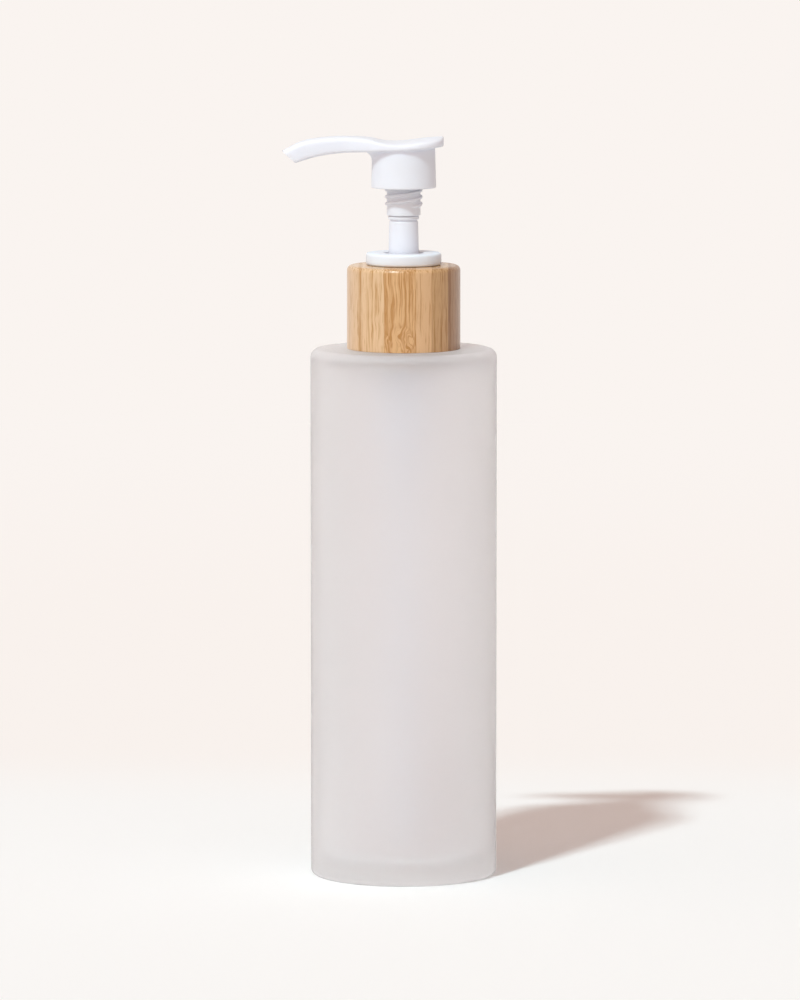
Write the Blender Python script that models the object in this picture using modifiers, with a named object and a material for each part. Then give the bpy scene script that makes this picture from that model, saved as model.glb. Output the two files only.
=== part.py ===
"""Lotion bottle with a lock-down press pump, built as its separate pieces.

Metres, +Z up. The origin is the middle of the base, on the table. The axis of the bottle and of
the pump is Z, and the nozzle points along -X. The pump is drawn with its head up.
"""
import math

import bmesh
import bpy
import numpy as np
from mathutils import Vector

# Fits
TOUCH = 0.0003                 # between faces that bear on each other
SLIDE = 0.0003                 # all round what slides, turns or is pressed in
THREAD_GAP = 0.0003            # between a thread's crest and the wall that faces it
EDGE_ROUND = 0.0003            # on outer edges that are only eased

# Glass bottle
BOTTLE_RADIUS = 0.0250
BODY_HEIGHT = 0.1419           # table to the flat of the shoulder
GLASS_WALL = 0.0028
GLASS_BASE = 0.0054
GLASS_SHOULDER = 0.0025
FOOT_ROUND = 0.0015
SHOULDER_ROUND = 0.0023
INSIDE_ROUND = 0.0030
NECK_HEIGHT = 0.0166           # shoulder to the lip
NECK_WALL = 0.0028
NECK_ROOM = 0.00046            # all round the housing in the neck's bore
NECK_ROOT_ROUND = 0.0010
LIP_ROUND = 0.0006

# Neck thread, one start
NECK_PITCH = 0.003175
NECK_THREAD_DEPTH = 0.00105
NECK_THREAD_TURNS = 1.5
NECK_THREAD_DROP = 0.0024      # lip to the upper end of the thread
NECK_RIDGE_ROOT = 0.0011       # half the ridge's width at its root
NECK_RIDGE_CREST = 0.0005

# Screw closure
CLOSURE_WALL = 0.00105
CLOSURE_TOP = 0.0012
CLOSURE_LIFT = 0.0011          # shoulder to the closure's lower edge
CLOSURE_THREAD_TURNS = 1.25
CLOSURE_RIDGE_ROOT = 0.00075
CLOSURE_RIDGE_CREST = 0.0003

# Bamboo collar
COLLAR_WALL = 0.0017
COLLAR_TOP = 0.0012
COLLAR_LIFT = 0.0006           # shoulder to the collar's lower edge
COLLAR_ROUND = 0.0014

# Gasket and pump housing
GASKET_THICKNESS = 0.0012
FLANGE_THICKNESS = 0.0014
FLANGE_SETBACK = 0.0004        # neck's outside to the flange's edge
COUNTERBORE_DEPTH = 0.0030
COUNTERBORE_WALL = 0.0010
HOUSING_WALL = 0.0010
HOUSING_SHOULDER = 0.0063      # length of the wide part under the flange
HOUSING_STEP = 0.0015          # height of the cone from the wide part to the cylinder
HOUSING_FLOOR = 0.0016
HOUSING_TAPER = 0.0035
VENT_RADIUS = 0.0005
VENT_DROP = 0.0040             # flange to the vent holes

# Inlet valve and dip tube
BALL_RADIUS = 0.0020
BALL_LIFT = 0.0015
BALL_ROOM = 0.0005
BALL_LIP_BITE = 0.0003         # how far the retaining lip reaches over the ball
BALL_LIP_THICKNESS = 0.0008
PORT_RADIUS = 0.0013
PORT_LENGTH = 0.0010
TUBE_RADIUS = 0.00275
TUBE_WALL = 0.00075
TUBE_FLOOR_ROOM = 0.0016       # glass floor to the tube's lower end
TUBE_CUT_DEGREES = 30.0
SOCKET_DEPTH = 0.0083
SOCKET_WALL = 0.00125

# Stem, piston, rod and spring
STEM_RADIUS = 0.0040
STEM_TAPER = 0.0002            # how much slimmer the stem is under its bead
STEM_BORE = 0.0019
STEM_SHOWN = 0.0100            # lock ring to the head's boss, with the head up
BEAD_STAND = 0.00027           # bead over the slim end of the stem
BEAD_HEIGHT = 0.0008
BEAD_GROOVE = 0.0003
SPIGOT_LENGTH = 0.0110
SPIGOT_END_ROOM = 0.0010
GUIDE_WALL = 0.0008
GUIDE_LENGTH = 0.0089          # flange's top to the lower end of the stem's guide
PISTON_LAG = 0.0012            # travel of the stem that opens the outlet valve
PISTON_ROOM = 0.0004
PISTON_CUP = 0.0052
PISTON_SLEEVE_RISE = 0.0009
PISTON_SLEEVE_DROP = 0.0004
PISTON_SLEEVE_WALL = 0.0012
PISTON_LIP_WALL = 0.0007
PISTON_WEB_HALF = 0.0007
ROD_FLOW_GAP = 0.0006          # liquid's way round the rod inside the piston
ROD_REACH = 0.0064             # how far the rod goes up into the stem
ROD_SEAT_THICKNESS = 0.0020
ROD_SEAT_OVERHANG = 0.0008     # seat's edge past the piston's sleeve
ROD_PIN_LENGTH = 0.0073
ROD_PIN_RADIUS = 0.0019
SPRING_LENGTH = 0.0231         # as fitted, with the head up
SPRING_TURNS = 8
SPRING_ROOM = 0.00105
SPRING_END_GAP = 0.0005        # between the wires of the closed end turns
WIRE_RADIUS = 0.00045

# Lock ring
PLUG_WALL = 0.0009
BARREL_STEP = 0.0016
DISC_COVER = 0.00196           # how far the disc covers the closure past its hole
DISC_THICKNESS = 0.0030
DISC_ROUND = 0.0008
LOCK_FLOOR = 0.0016
LOCK_THREAD_DROP = 0.0007
LOCK_THREAD_TURNS = 0.5

# Head: threaded boss and skirt
BOSS_STEP = 0.0005             # boss over the stem
BOSS_WALL = 0.0010
BOSS_THREAD_DEPTH = 0.00054
BOSS_THREAD_PITCH = 0.00185
BOSS_THREAD_STARTS = 2
BOSS_THREAD_TURNS = 1.25
BOSS_PLAIN = 0.0026            # boss's mouth to the lower end of its thread
BOSS_RIDGE_ROOT = 0.00052
BOSS_RIDGE_CREST = 0.00022
BOSS_SHOWN = 0.0074            # boss's mouth to the skirt's lower edge
SKIRT_ROOM = 0.0023            # between the boss's thread and the skirt
SKIRT_WALL = 0.00136
SKIRT_TAPER = 0.0003
SKIRT_HEIGHT = 0.0102          # skirt's lower edge to the underside of the pad
SKIRT_CEILING_DROP = 0.0024    # underside of the pad down to the ceiling inside the skirt
SKIRT_EMBED = 0.0010           # how far the skirt goes up into the pad

# Head: pad and nozzle. Heights are over the underside of the pad, and the places along the
# nozzle are measured from the skirt's wall.
PAD_OVERHANG = 0.0006          # pad past the skirt, at the sides
LIP_OVERHANG = 0.00205         # pad past the skirt, at its back
PAD_SQUARENESS = 2.5           # of its outline from above; 2 is an ellipse
BLADE_SQUARENESS = 3.2         # of the pad's cross-section
TIP_SQUARENESS = 2.6           # of the nozzle's cross-section
PAD_DISH = 0.0006
PAD_MIDDLE_TOP = 0.0018
PAD_BACK_TOP = 0.0034
PAD_BACK_UNDER = 0.0008
PAD_EDGE_DROP = 0.0004         # how far the back edge is rounded down
PAD_EDGE_START = 0.9           # where that starts: the sine of the angle along the pad
PAD_END_DEGREES = 86.0         # angle of the pad's last section; 90 would end in a point
NOZZLE_LENGTH = 0.0238         # skirt's wall to the point of the tip
TIP_SLANT = 0.0036             # how far the tip's face leans back to its lower edge
SLANT_START = 0.0095           # place along the nozzle where its sections start to lean
SLANT_POWER = 1.5
NOZZLE_TOP = ((-0.0035, 0.0025), (0.0010, 0.0034), (0.0060, 0.0036), (0.0130, 0.0033),
              (0.0185, 0.0023), (0.0238, -0.0003))
NOZZLE_UNDER = ((-0.0035, 0.0000), (0.0010, -0.0004), (0.0080, -0.0008), (0.0145, -0.0019),
                (0.0202, -0.0037))
NOZZLE_HALF_WIDTH = ((-0.0020, 0.0079), (0.0013, 0.0061), (0.0053, 0.0045), (0.0113, 0.0040),
                     (0.0238, 0.0034))
CHANNEL_RADIUS = 0.0012
CHANNEL_LINE = ((-0.0027, 0.0007), (0.0013, 0.0014), (0.0073, 0.0014), (0.0133, 0.0008),
                (0.0183, -0.0004), (0.0228, -0.0024), (0.0253, -0.0036))
FILLET = 0.0028                # skirt to the underside of the nozzle
FILLET_HALF_ANGLE = 30.0       # degrees round the skirt over which it fades out
FILLET_LEAST = 0.0003

# Facets
ROUND_STEPS = 48
MIDDLE_STEPS = 32
SMALL_STEPS = 24
CORNER_STEPS = 4
SMALL_CORNER = 0.0010          # a fillet up to this size takes half the steps
THREAD_STEPS = 18              # per turn
SPRING_STEPS = 10              # per turn
RIDGE_BITE = 0.0003            # how deep a ridge's root sits in its wall
RIDGE_RUNOUT_DEGREES = 30.0
RIDGE_BLUNT_DEGREES = 6.0      # share of the run-out that is left off, so that no ridge ends in a point
BALL_STEPS = 16
BLADE_RING = 20
PAD_RINGS = 8
NOZZLE_RINGS = 18
FILLET_RINGS = 7
CHANNEL_POINTS = 14
LONGEST_FILLET = 0.49          # most of an edge that one fillet may take
SHARP_DEGREES = 45.0
MERGE_DISTANCE = 0.00001
JOINT_SIZE = 0.01

# Radii, worked out from the stem outwards
guide_bore = STEM_RADIUS + SLIDE
chamber_radius = guide_bore + GUIDE_WALL + SLIDE
housing_radius = chamber_radius + HOUSING_WALL
boss_radius = STEM_RADIUS + BOSS_STEP
boss_crest = boss_radius + BOSS_THREAD_DEPTH
boss_bore = boss_radius - BOSS_WALL
lock_bore = boss_crest + THREAD_GAP
lock_crest = boss_radius + THREAD_GAP
plug_radius = lock_bore + PLUG_WALL
counterbore_radius = plug_radius + TOUCH
housing_shoulder_radius = counterbore_radius + COUNTERBORE_WALL
neck_bore = housing_shoulder_radius + NECK_ROOM
neck_radius = neck_bore + NECK_WALL
neck_crest = neck_radius + NECK_THREAD_DEPTH
closure_inner = neck_crest + THREAD_GAP
closure_crest = neck_radius + THREAD_GAP
closure_radius = closure_inner + CLOSURE_WALL
collar_inner = closure_radius + TOUCH
collar_radius = collar_inner + COLLAR_WALL
barrel_radius = plug_radius + BARREL_STEP
cover_hole = barrel_radius + SLIDE
disc_radius = cover_hole + DISC_COVER
flange_radius = neck_radius - FLANGE_SETBACK
skirt_inner = boss_crest + SKIRT_ROOM
skirt_radius = skirt_inner + SKIRT_WALL
stem_slim = STEM_RADIUS - STEM_TAPER
spigot_radius = boss_bore - SLIDE
rod_radius = STEM_BORE - SLIDE
piston_bore = rod_radius + ROD_FLOW_GAP
piston_sleeve = piston_bore + PISTON_SLEEVE_WALL
piston_radius = chamber_radius - SLIDE
rod_seat_radius = piston_sleeve + ROD_SEAT_OVERHANG
spring_radius = chamber_radius - SPRING_ROOM - WIRE_RADIUS
pocket_radius = BALL_RADIUS + BALL_ROOM
ball_lip_radius = BALL_RADIUS - BALL_LIP_BITE
socket_bore = TUBE_RADIUS + SLIDE
socket_radius = socket_bore + SOCKET_WALL

# Heights, from the table up
lip_z = BODY_HEIGHT + NECK_HEIGHT
gasket_low = lip_z + TOUCH
flange_low = gasket_low + GASKET_THICKNESS + TOUCH
flange_top = flange_low + FLANGE_THICKNESS
closure_ceiling = flange_top + TOUCH
closure_top = closure_ceiling + CLOSURE_TOP
collar_ceiling = closure_top + TOUCH
collar_top = collar_ceiling + COLLAR_TOP
disc_low = collar_top + TOUCH
disc_top = disc_low + DISC_THICKNESS
counterbore_low = flange_top - COUNTERBORE_DEPTH
plug_low = counterbore_low + TOUCH
lock_floor = plug_low + LOCK_FLOOR
boss_low = disc_top + STEM_SHOWN
bead_top = boss_low - TOUCH
spigot_top = boss_low + SPIGOT_LENGTH
boss_bore_top = spigot_top + SPIGOT_END_ROOM
skirt_low = boss_low + BOSS_SHOWN
pad_low = skirt_low + SKIRT_HEIGHT

# Heights inside the housing, from the flange down
guide_low = flange_top - GUIDE_LENGTH
piston_top = guide_low - PISTON_LAG - PISTON_ROOM
piston_low = piston_top - PISTON_CUP
sleeve_top = piston_top + PISTON_SLEEVE_RISE
sleeve_low = piston_low - PISTON_SLEEVE_DROP
stem_low = sleeve_top + PISTON_LAG + TOUCH
rod_seat_top = sleeve_low - TOUCH
rod_seat_low = rod_seat_top - ROD_SEAT_THICKNESS
spring_top = rod_seat_low - TOUCH
spring_low = spring_top - SPRING_LENGTH
chamber_floor = spring_low - TOUCH
ball_lip_low = chamber_floor - BALL_LIP_THICKNESS
ball_reach = math.sqrt(BALL_RADIUS ** 2 - ball_lip_radius ** 2)
ball_z = ball_lip_low - TOUCH - ball_reach - BALL_LIFT
seat_low = ball_z - (BALL_RADIUS + TOUCH) * math.sqrt(2) + PORT_RADIUS
seat_top = seat_low + pocket_radius - PORT_RADIUS
socket_top = seat_low - PORT_LENGTH
socket_low = socket_top - SOCKET_DEPTH
tube_top = socket_top - TOUCH
tube_low = GLASS_BASE + TUBE_FLOOR_ROOM

COLORS = {
    "frosted_glass": ((0.70, 0.69, 0.69), 0.45, 0.0),
    "bamboo": ((0.68, 0.45, 0.26), 0.50, 0.0),
    "white_plastic": ((0.88, 0.88, 0.90), 0.35, 0.0),
    "natural_plastic": ((0.80, 0.80, 0.78), 0.40, 0.0),
    "soft_plastic": ((0.75, 0.76, 0.78), 0.55, 0.0),
    "steel": ((0.62, 0.62, 0.64), 0.25, 1.0),
}


def clear_scene():
    """Remove what the file opened with."""
    for obj in list(bpy.data.objects):
        bpy.data.objects.remove(obj, do_unlink=True)


def new_collection(name):
    """Make a collection under the scene's own."""
    collection = bpy.data.collections.new(name)
    bpy.context.scene.collection.children.link(collection)
    return collection


clear_scene()
PIECES = new_collection("lotion_bottle")
TOOLS = new_collection("cutters")


def material(name):
    """Make or find the material of one finish."""
    found = bpy.data.materials.get(name)
    if found:
        return found
    color, roughness, metallic = COLORS[name]
    made = bpy.data.materials.new(name)
    made.use_nodes = True
    shader = made.node_tree.nodes["Principled BSDF"]
    shader.inputs["Base Color"].default_value = (*color, 1.0)
    shader.inputs["Roughness"].default_value = roughness
    shader.inputs["Metallic"].default_value = metallic
    made.diffuse_color = (*color, 1.0)
    return made


def add_object(name, data, finish=None):
    """Link an object: a piece when it has a finish, else a tool that cuts or joins."""
    obj = bpy.data.objects.new(name, data)
    if finish:
        PIECES.objects.link(obj)
        data.materials.append(material(finish))
    else:
        TOOLS.objects.link(obj)
        obj.hide_render = True
        obj.display_type = "WIRE"
    return obj


def rounded(corners, closed):
    """Turn corners (radius, height, fillet) into points, with an arc at each fillet."""
    points = []
    count = len(corners)
    for i, corner in enumerate(corners):
        here = Vector(corner[:2])
        fillet = corner[2] if len(corner) > 2 else 0.0
        if fillet <= 0.0 or (not closed and i in (0, count - 1)):
            points.append(here)
            continue
        back = Vector(corners[i - 1][:2]) - here
        ahead = Vector(corners[(i + 1) % count][:2]) - here
        half_angle = back.angle(ahead) / 2.0
        reach = min(fillet / math.tan(half_angle), LONGEST_FILLET * min(back.length, ahead.length))
        radius = reach * math.tan(half_angle)
        between = (back.normalized() + ahead.normalized()).normalized()
        middle = here + between * radius / math.sin(half_angle)
        start = here + back.normalized() * reach - middle
        end = here + ahead.normalized() * reach - middle
        sweep = start.angle_signed(end)
        steps = CORNER_STEPS if fillet > SMALL_CORNER else CORNER_STEPS // 2
        for step in range(steps + 1):
            turn = -sweep * step / steps
            cosine, sine = math.cos(turn), math.sin(turn)
            points.append(middle + Vector((start.x * cosine - start.y * sine,
                                           start.x * sine + start.y * cosine)))
    return points


def turned(name, corners, finish=None, closed=True, steps=ROUND_STEPS):
    """Turn an outline about Z. It runs down its outer side; an open one ends on the axis."""
    points = rounded(corners, closed)
    count = len(points)
    edges = [(i, (i + 1) % count) for i in range(count if closed else count - 1)]
    mesh = bpy.data.meshes.new(name)
    mesh.from_pydata([(p.x, 0.0, p.y) for p in points], edges, [])
    obj = add_object(name, mesh, finish)
    screw = obj.modifiers.new("turn", "SCREW")
    screw.axis = "Z"
    screw.angle = math.tau
    screw.steps = steps
    screw.render_steps = steps
    screw.use_merge_vertices = True
    screw.merge_threshold = MERGE_DISTANCE
    screw.use_smooth_shade = True
    return obj


def lofted(name, rings, finish=None):
    """Skin rings of equal point counts, and close both ends."""
    size = len(rings[0])
    verts = [tuple(p) for ring in rings for p in ring]
    faces = []
    for i in range(len(rings) - 1):
        for j in range(size):
            k = (j + 1) % size
            faces.append((i * size + j, i * size + k, (i + 1) * size + k, (i + 1) * size + j))
    faces.append(tuple(range(size)))
    faces.append(tuple(range((len(rings) - 1) * size, len(rings) * size)))
    mesh = bpy.data.meshes.new(name)
    mesh.from_pydata(verts, [], faces)
    shape = bmesh.new()
    shape.from_mesh(mesh)
    bmesh.ops.recalc_face_normals(shape, faces=shape.faces)
    shape.to_mesh(mesh)
    shape.free()
    mesh.shade_smooth()
    mesh.set_sharp_from_angle(angle=math.radians(SHARP_DEGREES))
    return add_object(name, mesh, finish)


def ridge(name, root, crest, half_root, half_crest, lead, start_z, turns, start_angle=0.0):
    """A right-hand thread ridge from its root radius to its crest radius.

    The point at angle t is at height start_z + lead * t / turn, and both ends run out.
    """
    bite = math.copysign(RIDGE_BITE, root - crest)
    steps = max(4, round(turns * THREAD_STEPS))
    runout = math.radians(RIDGE_RUNOUT_DEGREES)
    blunt = math.radians(RIDGE_BLUNT_DEGREES)
    rings = []
    for step in range(steps + 1):
        swept = math.tau * turns * step / steps
        rise = min(1.0, (swept + blunt) / runout, (math.tau * turns - swept + blunt) / runout)
        top = root + (crest - root) * rise
        flank = half_root + (half_crest - half_root) * rise
        z = start_z + lead * swept / math.tau
        cosine, sine = math.cos(start_angle + swept), math.sin(start_angle + swept)
        section = ((root + bite, z - half_root), (top, z - flank), (top, z + flank),
                   (root + bite, z + half_root))
        rings.append([(r * cosine, r * sine, height) for r, height in section])
    return lofted(name, rings)


def combine(piece, tool, operation):
    """Join a tool to a piece, or cut it out, and keep the tool with the piece."""
    step = piece.modifiers.new(tool.name, "BOOLEAN")
    step.operation = operation
    step.solver = "EXACT"
    step.object = tool
    tool.parent = piece
    return piece


def smooth(points, place):
    """Height at a place on a smooth curve through points (place, height) in rising order."""
    x = np.array([p[0] for p in points])
    y = np.array([p[1] for p in points])
    slope = np.gradient(y, x)
    place = float(np.clip(place, x[0], x[-1]))
    i = min(int(np.searchsorted(x, place, side="right")) - 1, len(x) - 2)
    width = x[i + 1] - x[i]
    t = (place - x[i]) / width
    return float((2 * t ** 3 - 3 * t ** 2 + 1) * y[i] + (t ** 3 - 2 * t ** 2 + t) * width * slope[i]
                 + (3 * t ** 2 - 2 * t ** 3) * y[i + 1] + (t ** 3 - t ** 2) * width * slope[i + 1])


def tube(name, points, radius):
    """A closed round bar along points, made into a mesh so that it can cut."""
    curve = bpy.data.curves.new(name, "CURVE")
    curve.dimensions = "3D"
    curve.bevel_depth = radius
    curve.bevel_resolution = 2
    curve.use_fill_caps = True
    spline = curve.splines.new("POLY")
    spline.points.add(len(points) - 1)
    for target, point in zip(spline.points, points):
        target.co = (*point, 1.0)
    holder = bpy.data.objects.new(name, curve)
    bpy.context.scene.collection.objects.link(holder)
    bpy.context.view_layer.update()
    evaluated = holder.evaluated_get(bpy.context.evaluated_depsgraph_get())
    mesh = bpy.data.meshes.new_from_object(evaluated)
    shape = bmesh.new()
    shape.from_mesh(mesh)
    bmesh.ops.remove_doubles(shape, verts=shape.verts, dist=MERGE_DISTANCE)
    bmesh.ops.recalc_face_normals(shape, faces=shape.faces)
    shape.to_mesh(mesh)
    shape.free()
    mesh.shade_smooth()
    mesh.set_sharp_from_angle(angle=math.radians(SHARP_DEGREES))
    bpy.data.objects.remove(holder, do_unlink=True)
    bpy.data.curves.remove(curve)
    return mesh


def glass_bottle():
    """Straight cylinder with a flat shoulder, a thick base and a threaded neck."""
    inside = BOTTLE_RADIUS - GLASS_WALL
    ceiling = BODY_HEIGHT - GLASS_SHOULDER
    bottle = turned("glass_bottle", (
        (neck_radius, lip_z, LIP_ROUND),
        (neck_radius, BODY_HEIGHT, NECK_ROOT_ROUND),
        (BOTTLE_RADIUS, BODY_HEIGHT, SHOULDER_ROUND),
        (BOTTLE_RADIUS, 0.0, FOOT_ROUND),
        (0.0, 0.0),
        (0.0, GLASS_BASE),
        (inside, GLASS_BASE, INSIDE_ROUND),
        (inside, ceiling, INSIDE_ROUND),
        (neck_bore, ceiling, NECK_ROOT_ROUND),
        (neck_bore, lip_z, LIP_ROUND),
    ), "frosted_glass")
    drop = NECK_PITCH * NECK_THREAD_TURNS
    thread = ridge("neck_thread", neck_radius, neck_crest, NECK_RIDGE_ROOT, NECK_RIDGE_CREST,
                   NECK_PITCH, lip_z - NECK_THREAD_DROP - drop, NECK_THREAD_TURNS)
    return combine(bottle, thread, "UNION")


def neck_gasket():
    """Flat washer between the lip and the pump's flange."""
    inner = housing_shoulder_radius + SLIDE
    top = gasket_low + GASKET_THICKNESS
    return turned("neck_gasket", (
        (flange_radius, top), (flange_radius, gasket_low), (inner, gasket_low), (inner, top),
    ), "soft_plastic", steps=SMALL_STEPS)


def screw_closure():
    """Moulded cap with the neck's female thread and a hole for the lock ring's barrel."""
    low = BODY_HEIGHT + CLOSURE_LIFT
    closure = turned("screw_closure", (
        (closure_radius, closure_top, EDGE_ROUND),
        (closure_radius, low),
        (closure_inner, low),
        (closure_inner, closure_ceiling),
        (cover_hole, closure_ceiling),
        (cover_hole, closure_top),
    ), "natural_plastic", steps=MIDDLE_STEPS)
    half_pitch = NECK_PITCH / 2.0
    neck_start = lip_z - NECK_THREAD_DROP - NECK_PITCH * NECK_THREAD_TURNS
    thread = ridge("closure_thread", closure_inner, closure_crest, CLOSURE_RIDGE_ROOT,
                   CLOSURE_RIDGE_CREST, NECK_PITCH, neck_start - half_pitch, CLOSURE_THREAD_TURNS)
    return combine(closure, thread, "UNION")


def bamboo_collar():
    """Turned cover ring, bonded over the closure."""
    low = BODY_HEIGHT + COLLAR_LIFT
    return turned("bamboo_collar", (
        (collar_radius, collar_top, COLLAR_ROUND),
        (collar_radius, low, EDGE_ROUND),
        (collar_inner, low),
        (collar_inner, collar_ceiling),
        (cover_hole, collar_ceiling),
        (cover_hole, collar_top, EDGE_ROUND),
    ), "bamboo")


def pump_housing():
    """Flanged cylinder with the plug's counterbore, the inlet seat and the tube's socket."""
    step_high = flange_low - HOUSING_SHOULDER
    step_low = step_high - HOUSING_STEP
    taper_top = chamber_floor - HOUSING_FLOOR
    housing = turned("pump_housing", (
        (flange_radius, flange_top),
        (flange_radius, flange_low),
        (housing_shoulder_radius, flange_low),
        (housing_shoulder_radius, step_high),
        (housing_radius, step_low),
        (housing_radius, taper_top),
        (socket_radius, taper_top - HOUSING_TAPER),
        (socket_radius, socket_low),
        (socket_bore, socket_low),
        (socket_bore, socket_top),
        (PORT_RADIUS, socket_top),
        (PORT_RADIUS, seat_low),
        (pocket_radius, seat_top),
        (pocket_radius, ball_lip_low),
        (ball_lip_radius, ball_lip_low),
        (ball_lip_radius, chamber_floor),
        (chamber_radius, chamber_floor),
        (chamber_radius, counterbore_low),
        (counterbore_radius, counterbore_low),
        (counterbore_radius, flange_top),
    ), "natural_plastic", steps=SMALL_STEPS)
    reach = housing_shoulder_radius + NECK_ROOM
    height = flange_low - VENT_DROP
    vents = add_object("vent_holes", tube("vent_holes", ((-reach, 0, height), (reach, 0, height)),
                                          VENT_RADIUS))
    return combine(housing, vents, "DIFFERENCE")


def lock_ring():
    """Disc, barrel and plug that close the pump and guide its stem, with the lock-down thread."""
    ring = turned("lock_ring", (
        (disc_radius, disc_top, DISC_ROUND),
        (disc_radius, disc_low, DISC_ROUND / 2.0),
        (barrel_radius, disc_low),
        (barrel_radius, flange_top + TOUCH),
        (plug_radius, flange_top + TOUCH),
        (plug_radius, plug_low),
        (piston_radius, plug_low),
        (piston_radius, guide_low),
        (guide_bore, guide_low),
        (guide_bore, lock_floor),
        (lock_bore, lock_floor),
        (lock_bore, disc_top, EDGE_ROUND),
    ), "white_plastic", steps=MIDDLE_STEPS)
    lead = BOSS_THREAD_PITCH * BOSS_THREAD_STARTS
    top = disc_top - LOCK_THREAD_DROP - BOSS_RIDGE_ROOT
    for start in range(BOSS_THREAD_STARTS):
        thread = ridge(f"lock_thread_{start + 1}", lock_bore, lock_crest, BOSS_RIDGE_ROOT,
                       BOSS_RIDGE_CREST, lead, top - lead * LOCK_THREAD_TURNS, LOCK_THREAD_TURNS,
                       math.tau * start / BOSS_THREAD_STARTS)
        combine(ring, thread, "UNION")
    return ring


def pump_stem():
    """Hollow stem: the sliding length, a bead that the head sits on, and a spigot into the boss."""
    bead_radius = stem_slim + BEAD_STAND
    bead_low = bead_top - BEAD_HEIGHT
    return turned("pump_stem", (
        (spigot_radius, spigot_top),
        (spigot_radius, bead_top),
        (bead_radius, bead_top, BEAD_GROOVE),
        (bead_radius, bead_low, BEAD_GROOVE),
        (stem_slim - BEAD_GROOVE, bead_low),
        (stem_slim - BEAD_GROOVE, bead_low - BEAD_GROOVE),
        (stem_slim, bead_low - 2.0 * BEAD_GROOVE),
        (STEM_RADIUS, disc_top),
        (STEM_RADIUS, stem_low),
        (STEM_BORE, stem_low),
        (STEM_BORE, spigot_top),
    ), "white_plastic", steps=SMALL_STEPS)


def piston_rod():
    """Rod pressed in the stem, with the outlet valve's seat and a pin that centres the spring."""
    top = stem_low + ROD_REACH
    tip = rod_seat_low - ROD_PIN_LENGTH
    return turned("piston_rod", (
        (0.0, top),
        (rod_radius, top),
        (rod_radius, rod_seat_top),
        (rod_seat_radius, rod_seat_top),
        (rod_seat_radius, rod_seat_low),
        (ROD_PIN_RADIUS, rod_seat_low),
        (ROD_PIN_RADIUS, tip, BEAD_GROOVE),
        (0.0, tip),
    ), "natural_plastic", closed=False, steps=SMALL_STEPS)


def piston():
    """Sliding seal: a sleeve round the rod, a web, and a cup with a lip at each end."""
    web_top = (piston_top + piston_low) / 2.0 + PISTON_WEB_HALF
    web_low = (piston_top + piston_low) / 2.0 - PISTON_WEB_HALF
    lip_inner = piston_radius - PISTON_LIP_WALL
    return turned("piston", (
        (piston_sleeve, sleeve_top),
        (piston_sleeve, web_top),
        (lip_inner, web_top),
        (lip_inner, piston_top),
        (piston_radius, piston_top),
        (piston_radius, piston_low),
        (lip_inner, piston_low),
        (lip_inner, web_low),
        (piston_sleeve, web_low),
        (piston_sleeve, sleeve_low),
        (piston_bore, sleeve_low),
        (piston_bore, sleeve_top),
    ), "soft_plastic", steps=SMALL_STEPS)


def return_spring():
    """Compression spring: one closed turn at each end, open turns between."""
    closed_rise = 2.0 * WIRE_RADIUS + SPRING_END_GAP
    low = spring_low + WIRE_RADIUS
    high = spring_top - WIRE_RADIUS
    stops = ((0.0, low), (1.0, low + closed_rise), (SPRING_TURNS - 1.0, high - closed_rise),
             (float(SPRING_TURNS), high))
    points = []
    for step in range(SPRING_TURNS * SPRING_STEPS + 1):
        turn = step / SPRING_STEPS
        height = np.interp(turn, [s[0] for s in stops], [s[1] for s in stops])
        angle = math.tau * turn
        points.append((spring_radius * math.cos(angle), spring_radius * math.sin(angle),
                       float(height)))
    return add_object("return_spring", tube("return_spring", points, WIRE_RADIUS), "steel")


def check_ball():
    """Ball of the inlet valve."""
    mesh = bpy.data.meshes.new("check_ball")
    shape = bmesh.new()
    bmesh.ops.create_uvsphere(shape, u_segments=BALL_STEPS, v_segments=BALL_STEPS // 2,
                              radius=BALL_RADIUS)
    bmesh.ops.translate(shape, verts=shape.verts, vec=(0.0, 0.0, ball_z))
    shape.to_mesh(mesh)
    shape.free()
    mesh.shade_smooth()
    return add_object("check_ball", mesh, "steel")


def dip_tube():
    """Straight tube from the socket to the floor, cut slantwise at its lower end."""
    inner = TUBE_RADIUS - TUBE_WALL
    pipe = turned("dip_tube", (
        (TUBE_RADIUS, tube_top), (TUBE_RADIUS, tube_low), (inner, tube_low), (inner, tube_top),
    ), "natural_plastic", steps=SMALL_STEPS)
    size = 4.0 * TUBE_RADIUS
    mesh = bpy.data.meshes.new("tube_end_cut")
    shape = bmesh.new()
    bmesh.ops.create_cube(shape, size=size)
    shape.to_mesh(mesh)
    shape.free()
    wedge = add_object("tube_end_cut", mesh)
    slant = math.radians(TUBE_CUT_DEGREES)
    down = size / 2.0 / math.cos(slant) - TUBE_RADIUS * math.tan(slant)
    wedge.rotation_euler = (0.0, slant, 0.0)
    wedge.location = (0.0, 0.0, tube_low - down)
    return combine(pipe, wedge, "DIFFERENCE")


def pad_half_width(x):
    """Half the pad's width at a place behind the axis, on a rounded outline."""
    reach = skirt_radius + LIP_OVERHANG
    share = min(1.0, abs(x) / reach) ** PAD_SQUARENESS
    return (skirt_radius + PAD_OVERHANG) * (1.0 - share) ** (1.0 / PAD_SQUARENESS)


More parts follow.
